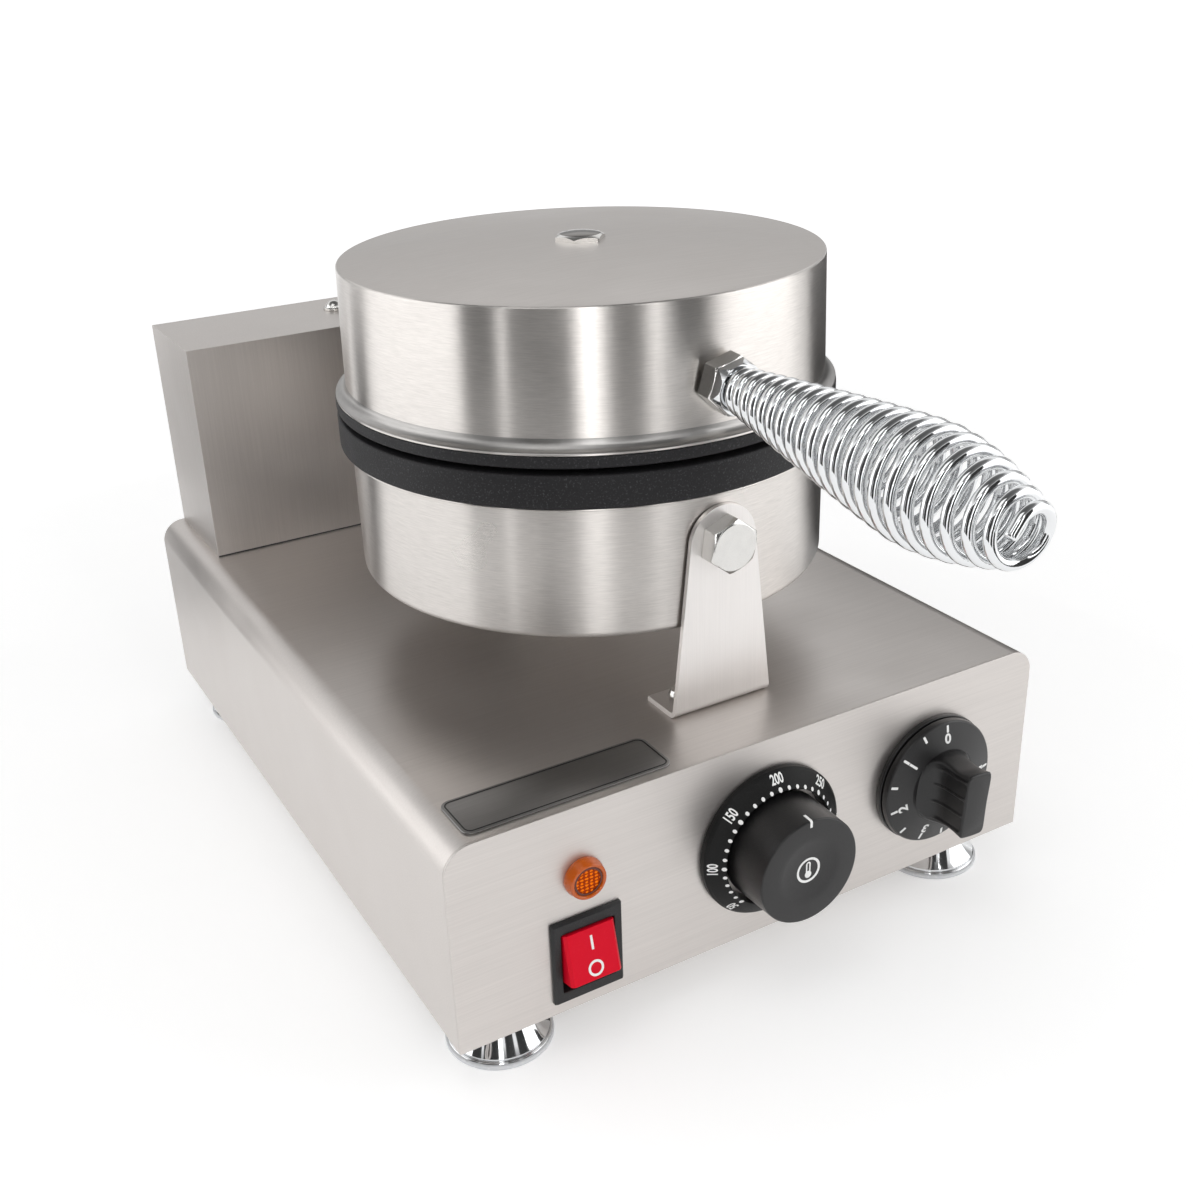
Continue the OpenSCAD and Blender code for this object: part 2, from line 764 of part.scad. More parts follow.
// Hexagon bolts that hold the drum between its two brackets
module bracket_bolts() {
    grip = bracket_t + fit + sheet + nut_bow + nut_t + 1;
    color("silver") on_drum(z_bolt) for (a = [0, 180]) rotate(a)
        translate([0, -bracket_front, 0]) rotate([90, 0, 0]) {
            rotate(22) hexagon(hex_af, bolt_head);
            translate([0, 0, -grip]) cylinder(r = bolt_d / 2, h = grip + bolt_head / 2);
        }
}

module bracket_nuts() {
    color("dimgray") on_drum(z_bolt) for (a = [0, 180]) rotate(a)
        translate([0, -drum_r + sheet + nut_bow, 0]) rotate([-90, 0, 0]) hexagon(hex_af, nut_t, bolt_d / 2);
}

// Conduit for the lower heater's wires, with lock nuts on the base and on the drum
module drum_conduit() {
    l = z_drum - z_top + 2 * conduit_end;
    color("gray") translate([0, conduit_y, z_top - conduit_end]) difference() {
        union() {
            cylinder(r = conduit_r, h = l);
            for (z = [-sheet - conduit_nut, 0, z_drum - z_top - conduit_nut, z_drum - z_top + sheet])
                translate([0, 0, conduit_end + z])
                    cylinder(d = conduit_af / cos(30), h = conduit_nut, $fn = 6);
        }
        translate([0, 0, -1]) cylinder(r = conduit_r - conduit_wall, h = l + 2);
    }
}

// Housing of the hinge: front, top and two sides, with a slot for each lid arm
module hinge_housing() {
    depth = housing_d - sheet;
    color("silver") difference() {
        translate([-housing_w / 2, housing_front, z_top]) difference() {
            cube([housing_w, depth, housing_h]);
            translate([sheet, sheet, -sheet]) cube([housing_w - 2 * sheet, depth, housing_h]);
        }
        for (s = [-1, 1]) translate([s * arm_x - slot_w / 2, housing_front - 1, z_pivot - arm_bar / 2 - 3])
            cube([slot_w, slot_back - housing_front + 1, pivot_drop + arm_bar]);
        holes([for (s = [-1, 1]) [s * dome_x, dome_y]], dome_screw_r + hole_fit,
            z_housing - 2 * sheet, 3 * sheet);
    }
}

// Back cover of the housing, with two long flanges that go inside its sides
module housing_back() {
    color("silver") difference() {
        union() {
            translate([-housing_w / 2, housing_rear - sheet, z_top]) cube([housing_w, sheet, housing_h]);
            for (s = [-1, 1]) translate([s * (housing_w / 2 - 1.5 * sheet - fit) - sheet / 2,
                housing_rear - panel_flange, z_top + sheet])
                cube([sheet, panel_flange - sheet / 2, housing_h - 3 * sheet]);
        }
        for (p = back_screws) translate([p[0], housing_rear + sheet, p[1]]) rotate([90, 0, 0])
            cylinder(r = screw_d / 2 + hole_fit, h = 3 * sheet);
    }
}

// Steel frame that carries the hinge: a foot, two uprights and two top flanges
module hinge_frame() {
    depth = frame_back - frame_front;
    color("slategray") difference() {
        translate([0, frame_front, 0]) {
            translate([-frame_in - frame_t, 0, z_top]) cube([2 * (frame_in + frame_t), depth, frame_foot_t]);
            for (s = [-1, 1]) mirror([s > 0 ? 1 : 0, 0, 0]) {
                translate([-frame_in - frame_t, 0, z_top]) cube([frame_t, depth, frame_top - z_top]);
                translate([-frame_in - frame_top_w, 0, frame_top - frame_foot_t])
                    cube([frame_top_w, depth, frame_foot_t]);
            }
        }
        across(pivot_y, z_pivot, shaft_d / 2 + run_fit, 4 * frame_in);
        across(rest_stop_y, rest_stop_z, stop_r + run_fit, 4 * frame_in);
        across(open_stop_y, open_stop_z, stop_r + run_fit, 4 * frame_in);
        holes([for (s = [-1, 1]) [s * dome_x, dome_y]], dome_screw_r + fit / 2,
            frame_top - 2 * frame_foot_t, 3 * frame_foot_t);
        holes(frame_screws, screw_d / 2 + hole_fit, z_top - 1, frame_foot_t + 2);
    }
}

module dome_screws() {
    color("gainsboro") for (s = [-1, 1]) translate([s * dome_x, dome_y, z_housing]) {
        cylinder(r = dome_r + 0.5, h = 1.4);
        translate([0, 0, 1.4]) intersection() {
            translate([0, 0, -1.5]) sphere(r = dome_r - 0.2);
            cylinder(r = dome_r, h = dome_r);
        }
        translate([0, 0, -dome_screw_l]) cylinder(r = dome_screw_r, h = dome_screw_l + 0.5);
    }
}

module hinge_shaft() {
    color("gainsboro") across(pivot_y, z_pivot, shaft_d / 2, 2 * (frame_in + frame_t + 3));
}

// Rings on the two ends of the shaft
module shaft_clips() {
    color("dimgray") for (s = [-1, 1]) difference() {
        translate([s * (frame_in + frame_t + 1), 0, 0]) across(pivot_y, z_pivot, shaft_d / 2 + 3.5, 1.2);
        across(pivot_y, z_pivot, shaft_d / 2 + run_fit, 4 * frame_in);
    }
}

// Rods between the uprights that the arms come to rest on
module rest_stop() {
    color("gainsboro") across(rest_stop_y, rest_stop_z, stop_r, 2 * (frame_in + frame_t));
}

module open_stop() {
    color("gainsboro") across(open_stop_y, open_stop_z, stop_r, 2 * (frame_in + frame_t));
}

// Fixed scale ring of the thermostat, with a bevelled rim
module thermostat_ring() {
    inner = knob_r + knob_gap;
    color("black") on_front(thermo_x, dial_z) rotate_extrude() polygon([[inner, 0], [scale_r, 0],
        [scale_r, ring_edge], [scale_r - ring_bevel, ring_low], [inner, ring_high]]);
}

// Body behind the panel, with the neck that the spindle turns in
module thermostat_body() {
    color("tan") on_front(thermo_x, dial_z) difference() {
        union() {
            translate([0, 0, -sheet - thermo_body[2] / 2]) cube(thermo_body, center = true);
            translate([0, 0, -2 * sheet]) cylinder(r = neck_r, h = 3 * sheet);
        }
        translate([0, 0, -sheet - spindle_in - seat]) cylinder(r = spindle_r + run_fit, h = 2 * spindle_in);
    }
}

// Sensing bulb under the lower plate, and the thin tube that joins it to the thermostat
module thermostat_bulb() {
    z_bulb = z_lip - plug_h - bulb_r - seat;
    y_body = base_front + sheet + thermo_body[2];
    points = [[0, y_body, dial_z], [0, y_body + tube_out, dial_z], [0, conduit_y, z_base + tube_low],
        [0, conduit_y, z_bulb]];
    color("orange") {
        across(conduit_y, z_bulb, bulb_r, bulb_l);
        for (i = [0:len(points) - 2]) {
            step = points[i + 1] - points[i];
            translate(points[i]) rotate([acos(step[2] / norm(step)), 0, step[1] > 0 ? 180 : 0])
                cylinder(r = tube_r, h = norm(step));
            translate(points[i + 1]) sphere(r = 1.2 * tube_r);
        }
    }
}

// Thermostat's knob with a shallow dish in its face
module thermostat_knob() {
    color("black") on_front(thermo_x, dial_z) difference() {
        rotate_extrude() polygon([[0, knob_back], [knob_r + 0.6, knob_back], [knob_r, knob_out - knob_round],
            [knob_r - knob_round, knob_out], [0, knob_out]]);
        translate([0, 0, knob_out + dish_sphere_r - dish_h]) sphere(r = dish_sphere_r);
        cylinder(r = spindle_r + fit / 2, h = knob_back + spindle_in / 2 + fit);
    }
}

// Spindle that starts inside a body behind the panel and ends inside its knob
module spindle(back) {
    translate([0, 0, -sheet - spindle_in]) cylinder(r = spindle_r, h = sheet + 1.5 * spindle_in + back);
}

module thermostat_spindle() {
    color("gainsboro") on_front(thermo_x, dial_z) spindle(knob_back);
}

// Thin fixed ring behind the timer's skirt
module timer_ring() {
    color("black") on_front(timer_x, dial_z) rotate_extrude()
        translate([neck_r + 1, 0]) square([skirt_r + 0.4 - neck_r - 1, backing_t]);
}

module timer_body() {
    color("lightslategray") on_front(timer_x, dial_z) difference() {
        union() {
            translate([0, 0, -sheet - timer_body_l]) cylinder(r = timer_body_r, h = timer_body_l);
            translate([0, 0, -2 * sheet]) cylinder(r = neck_r, h = 3 * sheet);
        }
        translate([0, 0, -sheet - spindle_in - seat]) cylinder(r = spindle_r + run_fit, h = 2 * spindle_in);
    }
}

// Skirted knob: a bar grip that flares out to a round hub, waisted at its ends, ribbed at its sides
module timer_knob() {
    rise = grip_out - skirt_hub;
    steps = 8;
    rib = 0.5;
    function flank(u) = [grip_w / 2 + (grip_r - grip_w / 2) * pow(1 - u, 4), skirt_hub + u * rise];
    color("black") on_front(timer_x, dial_z) rotate(-timer_start) difference() {
        union() {
            rotate_extrude() polygon([[0, skirt_back], [skirt_r, skirt_back], [skirt_r - 0.8, skirt_face - 1],
                [skirt_r - 1.8, skirt_face], [grip_r, skirt_hub], [0, skirt_hub]]);
            intersection() {
                rotate_extrude() polygon([[0, skirt_back], [grip_r, skirt_back], [grip_r, skirt_hub],
                    [grip_r * 0.9, skirt_hub + rise * 0.3], [grip_r * grip_waist, skirt_hub + rise * 0.65],
                    [grip_r * 0.9, grip_out - 0.8], [grip_r * 0.87, grip_out], [0, grip_out]]);
                union() {
                    rotate([90, 0, 0]) linear_extrude(2 * grip_r, center = true) polygon(concat(
                        [[-grip_r, skirt_back], [grip_r, skirt_back]],
                        [for (i = [0:steps]) flank(i / steps)],
                        [for (i = [steps:-1:0]) [-flank(i / steps)[0], flank(i / steps)[1]]]));
                    for (i = [-1.5:1.5]) translate([0, i * 0.46 * grip_r, (skirt_hub + grip_out) / 2])
                        cube([grip_w + 2 * rib, 1.2, rise - 2 * rib], center = true);
                }
            }
        }
        cylinder(r = spindle_r + fit / 2, h = skirt_back + spindle_in / 2 + fit);
    }
}

module timer_spindle() {
    color("gainsboro") on_front(timer_x, dial_z) spindle(skirt_back);
}

// Amber lens with a raised rim
module lamp_lens() {
    color("orange") on_front(switch_x, lamp_z) rotate_extrude() polygon([[0, 0], [lamp_r, 0],
        [lamp_r, 1.2], [lamp_r - 0.9, lamp_out], [lamp_r - lamp_rim, lamp_out],
        [lamp_r - lamp_rim - 0.3, lamp_out - 1], [0, lamp_out - 1]]);
}

module lamp_body() {
    color("darkorange") on_front(switch_x, lamp_z) {
        translate([0, 0, -lamp_body_l]) cylinder(r = lamp_neck_r, h = lamp_body_l);
        translate([0, 0, -3 * sheet]) cylinder(r = lamp_neck_r + 2, h = 2 * sheet);
    }
}

// Frame and body of the rocker switch, open at the front
module switch_frame() {
    color("dimgray") on_front(switch_x, switch_z) difference() {
        union() {
            linear_extrude(frame_out) round_rect(switch_w, switch_h, 1.5);
            translate([0, 0, -switch_body[2] / 2]) cube(switch_body, center = true);
        }
        translate([-window_w / 2, -window_h / 2, -rocker_hole])
            cube([window_w, window_h, rocker_hole + frame_out + 1]);
        translate([0, 0, -rocker_deep]) rotate([0, 90, 0])
            cylinder(r = rocker_pin_r + run_fit, h = switch_body[0] + 2, center = true);
    }
}

// Rocker with its pin, at rest with its upper end pressed in
module rocker() {
    front = rocker_front;
    side = rocker_w / 2;
    color("red") on_front(switch_x, switch_z) translate([0, 0, -rocker_deep])
        rotate([-rocker_tilt, 0, 0]) {
            rotate([0, 90, 0]) cylinder(r = rocker_pin_r, h = switch_body[0] - fit, center = true);
            intersection() {
                translate([-side, 0, 0]) rotate([90, 0, 90]) linear_extrude(rocker_w)
                    polygon([[-rocker_h / 2, front], [-rocker_h / 2, front - rocker_side], [-3.5, -5.5],
                        [3.5, -5.5], [rocker_h / 2, front - rocker_side], [rocker_h / 2, front]]);
                rotate([90, 0, 0]) linear_extrude(2 * rocker_h, center = true)
                    polygon([[-side, -6], [side, -6], [side, front - rocker_bevel],
                        [side - rocker_bevel, front], [rocker_bevel - side, front],
                        [-side, front - rocker_bevel]]);
            }
        }
}

// Ceramic block for the incoming wires, with its clamp holes
module terminal_block() {
    color("ivory") translate([0.2 * base_w, base_back - block_in, z_base + 2 * sheet]) difference() {
        cube(block);
        for (i = [0:block_holes - 1])
            translate([(i + 0.5) * block[0] / block_holes, -1, block[2] / 2]) rotate([-90, 0, 0])
                cylinder(r = 3, h = block[1] + 2);
    }
}

// Gland for the cord: hexagon and dome outside, lock nut inside
module cable_gland() {
    color("black") translate([gland_x, base_back, gland_z]) rotate([-90, 0, 0]) difference() {
        union() {
            translate([0, 0, -sheet - 2 * gland_nut]) cylinder(r = gland_thread_r, h = sheet + 3 * gland_nut);
            for (z = [0, -sheet - gland_nut]) translate([0, 0, z])
                cylinder(d = gland_af / cos(30), h = gland_nut, $fn = 6);
            translate([0, 0, gland_nut])
                cylinder(r1 = gland_thread_r + 1, r2 = gland_bore_r + 2, h = gland_out - gland_nut);
        }
        translate([0, 0, -sheet - 2 * gland_nut - 1])
            cylinder(r = gland_bore_r, h = sheet + 2 * gland_nut + gland_out + 2);
    }
}

// Bare plate on the top of the base
module badge_plate() {
    color("darkslategray")
        translate([-base_w / 2 + bend_r + badge_w / 2, base_front + badge_in + badge_d / 2, z_top])
            linear_extrude(badge_t) round_rect(badge_w, badge_d, badge_round);
}

// Inverted cup with a sheet flare down to its flange
module lid_shell() {
    color("lightgray") difference() {
        on_drum() union() {
            translate([0, 0, z_crown]) mirror([0, 0, 1]) rotate_extrude()
                cup(drum_r, z_crown - flare_top, crown_r);
            rotate_extrude() intersection() {
                translate([drum_r - sheet, z_lid]) square([flare_r + sheet, flare_r + sheet]);
                translate([drum_r + flare_r, flare_top]) difference() {
                    circle(flare_r + sheet);
                    circle(flare_r);
                }
            }
        }
        holes([[0, drum_y]], stud_r + hole_fit, z_crown - 2 * sheet, 3 * sheet);
        on_drum(z_handle) rotate([90, 0, 0]) cylinder(r = stud_r + 0.8, h = drum_r + 5);
        for (p = saddle_screws) translate([p[0], drum_y, p[1]]) rotate([-90, 0, 0])
            cylinder(r = saddle_screw_r + hole_fit, h = drum_r + 5);
    }
}

// Central stud of the lid, from the upper plate through the crown
module lid_stud() {
    bottom = z_lid + plug_h;
    color("dimgray") on_drum() {
        translate([0, 0, bottom + fit]) cylinder(r = stud_r, h = z_crown + 5 - bottom - fit);
        translate([0, 0, bottom - tie_in]) cylinder(r = tie_r, h = tie_in + 1);
    }
}

// Domed hexagon nut on the crown
module top_nut() {
    color("gainsboro") on_drum(z_crown) difference() {
        union() {
            rotate(12) hexagon(hex_af - 2, 5.5);
            translate([0, 0, 5]) cylinder(r1 = 0.44 * hex_af, r2 = 0.3 * hex_af, h = 2.2);
        }
        translate([0, 0, -1]) cylinder(r = stud_r + fit / 2, h = 6 + fit);
    }
}

// Welded arms: two side plates from the shaft to the lid, and the saddle that meets its wall
module lid_arms() {
    reach = pivot_y - arm_front;
    rise = saddle_z + saddle_h - z_pivot + arm_bar / 2;
    saddle_in = 8;
    color("slategray") difference() {
        union() {
            for (s = [-1, 1]) {
                translate([s * arm_x, 0, 0]) across(pivot_y, z_pivot, boss_r, boss_w);
                translate([s * arm_x - arm_t / 2, arm_front, z_pivot - arm_bar / 2]) {
                    cube([arm_t, reach, arm_bar]);
                    cube([arm_t, arm_bar, rise]);
                }
            }
            difference() {
                translate([-saddle_w / 2, drum_y + drum_r - saddle_in, saddle_z])
                    cube([saddle_w, arm_front - drum_y - drum_r + saddle_in + 4, saddle_h]);
                on_drum(saddle_z - 1) cylinder(r = drum_r + fit, h = saddle_h + 2);
            }
        }
        across(pivot_y, z_pivot, bush_r, 4 * frame_in);
        for (p = saddle_screws) translate([p[0], drum_y + drum_r - saddle_in, p[1]]) rotate([-90, 0, 0])
            cylinder(r = saddle_screw_r + fit / 2, h = 2 * saddle_in + 1);
    }
}

// Screws from inside the lid into the saddle
module arm_bolts() {
    head_bow = sagitta(drum_r - sheet, saddle_screws[3][0] + 5);
    color("dimgray") for (p = saddle_screws)
        translate([p[0], drum_y + drum_r - sheet - head_bow, p[1]]) rotate([-90, 0, 0]) {
            mirror([0, 0, 1]) cylinder(r = 5, h = 4);
            translate([0, 0, -1]) cylinder(r = saddle_screw_r, h = 10);
        }
}

// Plain bushes pressed into the arms, which turn on the shaft
module hinge_bushes() {
    color("goldenrod") for (s = [-1, 1]) difference() {
        translate([s * arm_x, 0, 0]) across(pivot_y, z_pivot, bush_r, boss_w);
        across(pivot_y, z_pivot, shaft_d / 2 + run_fit, 4 * frame_in);
    }
}

// Rod from inside the lid into the root of the coil
module handle_rod() {
    inside = sheet + nut_bow + nut_t + 1;
    color("gainsboro") on_handle() {
        translate([0, 0, -inside]) cylinder(r = stud_r, h = inside + nut_h + nut_seat);
        cylinder(r = rod_d / 2, h = collar_end + rod_in_coil);
    }
}

module handle_lock_nut() {
    color("dimgray") on_handle() translate([0, 0, -sheet - 2 * nut_bow]) mirror([0, 0, 1])
        hexagon(hex_af, nut_t, stud_r);
}

module handle_nut() {
    color("gray") on_handle() translate([0, 0, nut_seat]) rotate(15) hexagon(hex_af, nut_h, stud_r);
}

// Tapered hexagon collar between the nut and the coil, with a hole for the wire's end
module handle_collar() {
    color("gainsboro") on_handle() difference() {
        translate([0, 0, nut_seat + nut_h]) intersection() {
            rotate(15) cylinder(d = 0.98 * hex_af / cos(30), h = collar_h, $fn = 6);
            cylinder(r1 = 0.58 * hex_af, r2 = coil_root_r + wire_d / 2 + 0.6, h = collar_h);
        }
        cylinder(r = rod_d / 2 + fit / 2, h = collar_end + 1);
        rotate(coil_phase) translate([coil_root_r, 0, coil_start - seat / 2])
            cylinder(r = wire_d / 2 + fit / 2, h = collar_h);
    }
}

module handle_coil() {
    color("lightgray") on_handle() wire(coil_path, wire_d / 2, wire_sides);
}

base_shell();
front_panel();
rear_panel();
bottom_plate();
feet();
foot_pads();
underside_screws();
cover_screws();
base_top_screws();
lower_drum();
lower_plate();
lower_heater();
lower_insulation();
lower_tie();
front_bracket();
rear_bracket();
bracket_bolts();
bracket_nuts();
drum_conduit();
hinge_housing();
housing_back();
hinge_frame();
dome_screws();
hinge_shaft();
shaft_clips();
rest_stop();
open_stop();
thermostat_ring();
thermostat_body();
thermostat_bulb();
timer_ring();
timer_body();
lamp_lens();
lamp_body();
switch_frame();
terminal_block();
cable_gland();
badge_plate();
lid_shell();
upper_plate();
upper_heater();
upper_insulation();
lid_stud();
top_nut();
lid_arms();
arm_bolts();
hinge_bushes();
handle_rod();
handle_lock_nut();
handle_nut();
handle_collar();
handle_coil();
thermostat_knob();
thermostat_spindle();
timer_knob();
timer_spindle();
rocker();
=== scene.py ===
"""Thin waffle maker: the shown surfaces, finishes, stage and camera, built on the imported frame.

Shapes are worked out in millimetres and stored in metres, in the frame's own axes: the front panel
faces -Y, +X is to its right and the floor is z = 0.
"""

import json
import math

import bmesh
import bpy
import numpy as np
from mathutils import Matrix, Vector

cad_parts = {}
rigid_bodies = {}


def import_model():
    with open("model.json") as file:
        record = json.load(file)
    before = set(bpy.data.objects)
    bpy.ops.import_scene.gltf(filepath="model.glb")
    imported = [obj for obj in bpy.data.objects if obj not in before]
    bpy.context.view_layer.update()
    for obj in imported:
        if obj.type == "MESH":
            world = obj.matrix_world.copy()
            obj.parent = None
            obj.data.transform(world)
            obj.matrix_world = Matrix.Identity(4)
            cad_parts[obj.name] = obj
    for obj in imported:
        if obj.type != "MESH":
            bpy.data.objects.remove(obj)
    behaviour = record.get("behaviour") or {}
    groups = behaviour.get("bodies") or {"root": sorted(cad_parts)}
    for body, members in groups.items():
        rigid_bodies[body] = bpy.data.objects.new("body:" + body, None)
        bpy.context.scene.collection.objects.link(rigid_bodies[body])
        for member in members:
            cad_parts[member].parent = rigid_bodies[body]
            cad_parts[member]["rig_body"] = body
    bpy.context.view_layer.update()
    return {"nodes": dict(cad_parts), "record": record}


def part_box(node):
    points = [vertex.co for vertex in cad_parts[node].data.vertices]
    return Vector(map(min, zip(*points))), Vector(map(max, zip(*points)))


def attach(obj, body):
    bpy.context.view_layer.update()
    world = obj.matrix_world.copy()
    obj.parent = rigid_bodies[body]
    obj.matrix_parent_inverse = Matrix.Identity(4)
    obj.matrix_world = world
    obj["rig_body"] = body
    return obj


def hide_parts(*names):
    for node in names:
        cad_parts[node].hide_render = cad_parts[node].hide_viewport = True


bl_info = {
    "name": "Thin Waffle Maker",
    "version": (1, 0, 0),
    "blender": (4, 5, 0),
    "location": "3D View > Sidebar > Waffle Maker",
    "description": "Builds the surfaces and finishes of a thin waffle maker on its packed frame",
    "category": "Object",
}

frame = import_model()
MM = 0.001


def box_mm(node):
    """Lowest and highest corner of a node of the frame, in millimetres."""
    low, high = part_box(node)
    return np.array(low) / MM, np.array(high) / MM


# Places read from the frame
PLATE_LOW, PLATE_HIGH = box_mm("lower_plate")
DRUM_LOW, DRUM_HIGH = box_mm("lower_drum")
LID_LOW, LID_HIGH = box_mm("lid_shell")
RING_LOW, RING_HIGH = box_mm("thermostat_ring")
SKIRT_LOW, SKIRT_HIGH = box_mm("timer_ring")
LAMP_LOW, LAMP_HIGH = box_mm("lamp_lens")
SWITCH_LOW, SWITCH_HIGH = box_mm("switch_frame")
BADGE_LOW, BADGE_HIGH = box_mm("badge_plate")
UPPER_LOW = box_mm("upper_plate")[0]
FRONT_Y = box_mm("front_panel")[0][1]
DRUM_Y = (PLATE_LOW[1] + PLATE_HIGH[1]) / 2
PLATE_R = (PLATE_HIGH[0] - PLATE_LOW[0]) / 2
DIAL_Z = (RING_LOW[2] + RING_HIGH[2]) / 2
TIMER_X = (SKIRT_LOW[0] + SKIRT_HIGH[0]) / 2
SWITCH_X = (SWITCH_LOW[0] + SWITCH_HIGH[0]) / 2
SWITCH_Z = (SWITCH_LOW[2] + SWITCH_HIGH[2]) / 2
LAMP_Z = (LAMP_LOW[2] + LAMP_HIGH[2]) / 2

# Sizes shared with the solids, in millimetres
SHEET = 1.0
DRUM_R = PLATE_R - 4.5
HANDLE_RISE = 20.9
HANDLE_DROOP = 3.7
CURLS = 21
WIRE_R = 2.1
COIL_START = 10.56
TIMER_START = 4.7
FOOT_X = 108.5

# Sizes that only the shown surfaces have, in millimetres
CROWN_RISE = 4.0
LID_TAPER = 1.0
CORNER_IN = 1.2
LAMP_PITCH = 1.4
PRINT_EDGE = 0.02


def length_setting(name, text, value):
    """A length, in millimetres."""
    return bpy.props.FloatProperty(name=name, description=text, default=value, min=0.02)


def count_setting(name, text, value):
    """A number of steps."""
    return bpy.props.IntProperty(name=name, description=text, default=value, min=12, max=512)


def colour_setting(name, text, value):
    """A colour, in linear light."""
    return bpy.props.FloatVectorProperty(
        name=name, description=text, default=value, size=3, min=0, max=1, subtype="COLOR")


class WaffleSizes(bpy.types.PropertyGroup):
    """Sizes of the fine shapes, in millimetres, and how finely they are divided."""

    edge: length_setting("Sheet edge", "Rounding of the sheet pieces' edges", 0.32)
    nut_edge: length_setting("Nut edge", "Rounding of nuts and bolt heads", 0.22)
    cast_edge: length_setting("Plate edge", "Rounding of the cast plates' rims", 1.1)
    dot: length_setting("Dial dot", "Radius of the thermostat's dots", 0.72)
    digit: length_setting("Thermostat digits", "Height of the thermostat's numbers", 3.5)
    timer_digit: length_setting("Timer digits", "Height of the timer's numbers", 4.2)
    mark: length_setting("Mark thickness", "Height of the printed marks", 0.1)
    drum_steps: count_setting("Drum steps", "Steps round a drum", 256)
    coil_steps: count_setting("Curl steps", "Steps in one curl of the handle", 44)
    lens: bpy.props.FloatProperty(
        name="Camera lens", description="Focal length of the camera", default=42.491, unit="CAMERA")


class WaffleColours(bpy.types.PropertyGroup):
    """Colours of the finishes."""

    sheet: colour_setting("Sheet", "Brushed sheet of the base and housing", (0.66, 0.625, 0.6))
    drum: colour_setting("Drums", "Brushed sheet of the drums", (0.66, 0.63, 0.603))
    chrome: colour_setting("Chrome", "Polished chrome", (0.78, 0.79, 0.8))
    cast: colour_setting("Plates", "Coating of the cooking plates", (0.013, 0.0125, 0.0138))
    knob: colour_setting("Knobs", "Black plastic of the dials", (0.008, 0.0076, 0.008))
    rocker: colour_setting("Rocker", "Red plastic of the rocker", (0.68, 0.002, 0.02))
    lamp: colour_setting("Lamp", "Amber plastic of the lamp", (0.98, 0.2, 0.003))
    mark: colour_setting("Marks", "White paint of the marks", (0.86, 0.86, 0.85))
    badge: colour_setting("Badge", "Satin grey of the bare badge plate", (0.27, 0.265, 0.26))
    floor: colour_setting("Floor", "Pale floor", (0.9, 0.9, 0.9))


def sizes():
    """The user's sizes."""
    return bpy.context.scene.waffle_sizes


def colours():
    """The user's colours."""
    return bpy.context.scene.waffle_colours


# Surfaces: each is a pair of points, in millimetres, and faces

def fillet(corners, steps=5):
    """Polyline of (x, y, r) corners. A corner of radius r becomes the arc that touches both of its
    sides, which starts r / tan(half the angle between them) away from it."""
    points = np.array([c[:2] for c in corners], float)
    out = []
    for i, (p, r) in enumerate(zip(points, [c[2] for c in corners])):
        if r <= 0:
            out.append(p[None])
            continue
        back, ahead = points[i - 1] - p, points[(i + 1) % len(points)] - p
        back, ahead = back / np.linalg.norm(back), ahead / np.linalg.norm(ahead)
        half = math.acos(np.clip(back @ ahead, -1, 1)) / 2
        centre = p + (back + ahead) / np.linalg.norm(back + ahead) * r / math.sin(half)
        start, end = p + back * r / math.tan(half) - centre, p + ahead * r / math.tan(half) - centre
        turn, t = math.pi - 2 * half, np.linspace(0, 1, steps)[:, None]
        out.append(centre + (np.sin((1 - t) * turn) * start + np.sin(t * turn) * end) / math.sin(turn))
    return np.concatenate(out)


def grid(points, rows_closed=False, columns_closed=True):
    """Faces between the neighbours of an array of rows x columns x 3 points."""
    rows, columns = points.shape[:2]
    i = np.arange(rows if rows_closed else rows - 1)[:, None]
    j = np.arange(columns if columns_closed else columns - 1)[None]
    up, along = (i + 1) % rows, (j + 1) % columns
    quads = np.stack(np.broadcast_arrays(
        i * columns + j, i * columns + along, up * columns + along, up * columns + j), -1)
    return points.reshape(-1, 3), quads.reshape(-1, 4).tolist()


def capped(points):
    """A grid of closed rows with a flat face on its first and last row."""
    verts, faces = grid(points)
    columns = points.shape[1]
    last = len(verts) - columns
    return verts, faces + [list(range(columns))[::-1], list(range(last, last + columns))]


def outward(surface):
    """The surface with its faces turned so that the volume inside it counts as positive."""
    verts, faces = surface
    first = np.array([f[0] for f in faces for _ in f[2:]])
    second = np.array([a for f in faces for a in f[1:-1]])
    third = np.array([a for f in faces for a in f[2:]])
    volume = np.einsum("ij,ij->i", verts[first], np.cross(verts[second], verts[third])).sum()
    return verts, faces if volume > 0 else [f[::-1] for f in faces]


def joined(*surfaces):
    """Several surfaces as one."""
    starts = np.cumsum([0] + [len(s[0]) for s in surfaces])
    faces = [[a + start for a in f] for s, start in zip(surfaces, starts) for f in s[1]]
    return np.concatenate([s[0] for s in surfaces]), faces


def full_turn(steps):
    """Equally spaced angles of one full turn."""
    return np.linspace(0, 2 * np.pi, steps, endpoint=False)


def revolved(profile, steps, rows_closed=False):
    """Turned surface: the point (r, z) of the profile is carried to (r cos a, r sin a, z)."""
    a = full_turn(steps)
    r, z = np.asarray(profile, float).T
    points = np.stack([np.outer(r, np.cos(a)), np.outer(r, np.sin(a)), np.outer(z, np.ones(steps))], -1)
    return outward(grid(points, rows_closed))


def shrunk(outline, amount):
    """Closed outline drawn inwards: each point moves along the mean of its two sides' normals, far
    enough that both sides move by the amount."""
    ahead = np.roll(outline, -1, 0) - outline
    normal = np.stack([ahead[:, 1], -ahead[:, 0]], -1)
    normal /= np.linalg.norm(normal, axis=1)[:, None]
    mean = normal + np.roll(normal, 1, 0)
    mean /= np.linalg.norm(mean, axis=1)[:, None]
    return outline - amount * mean / np.sum(mean * normal, 1)[:, None]


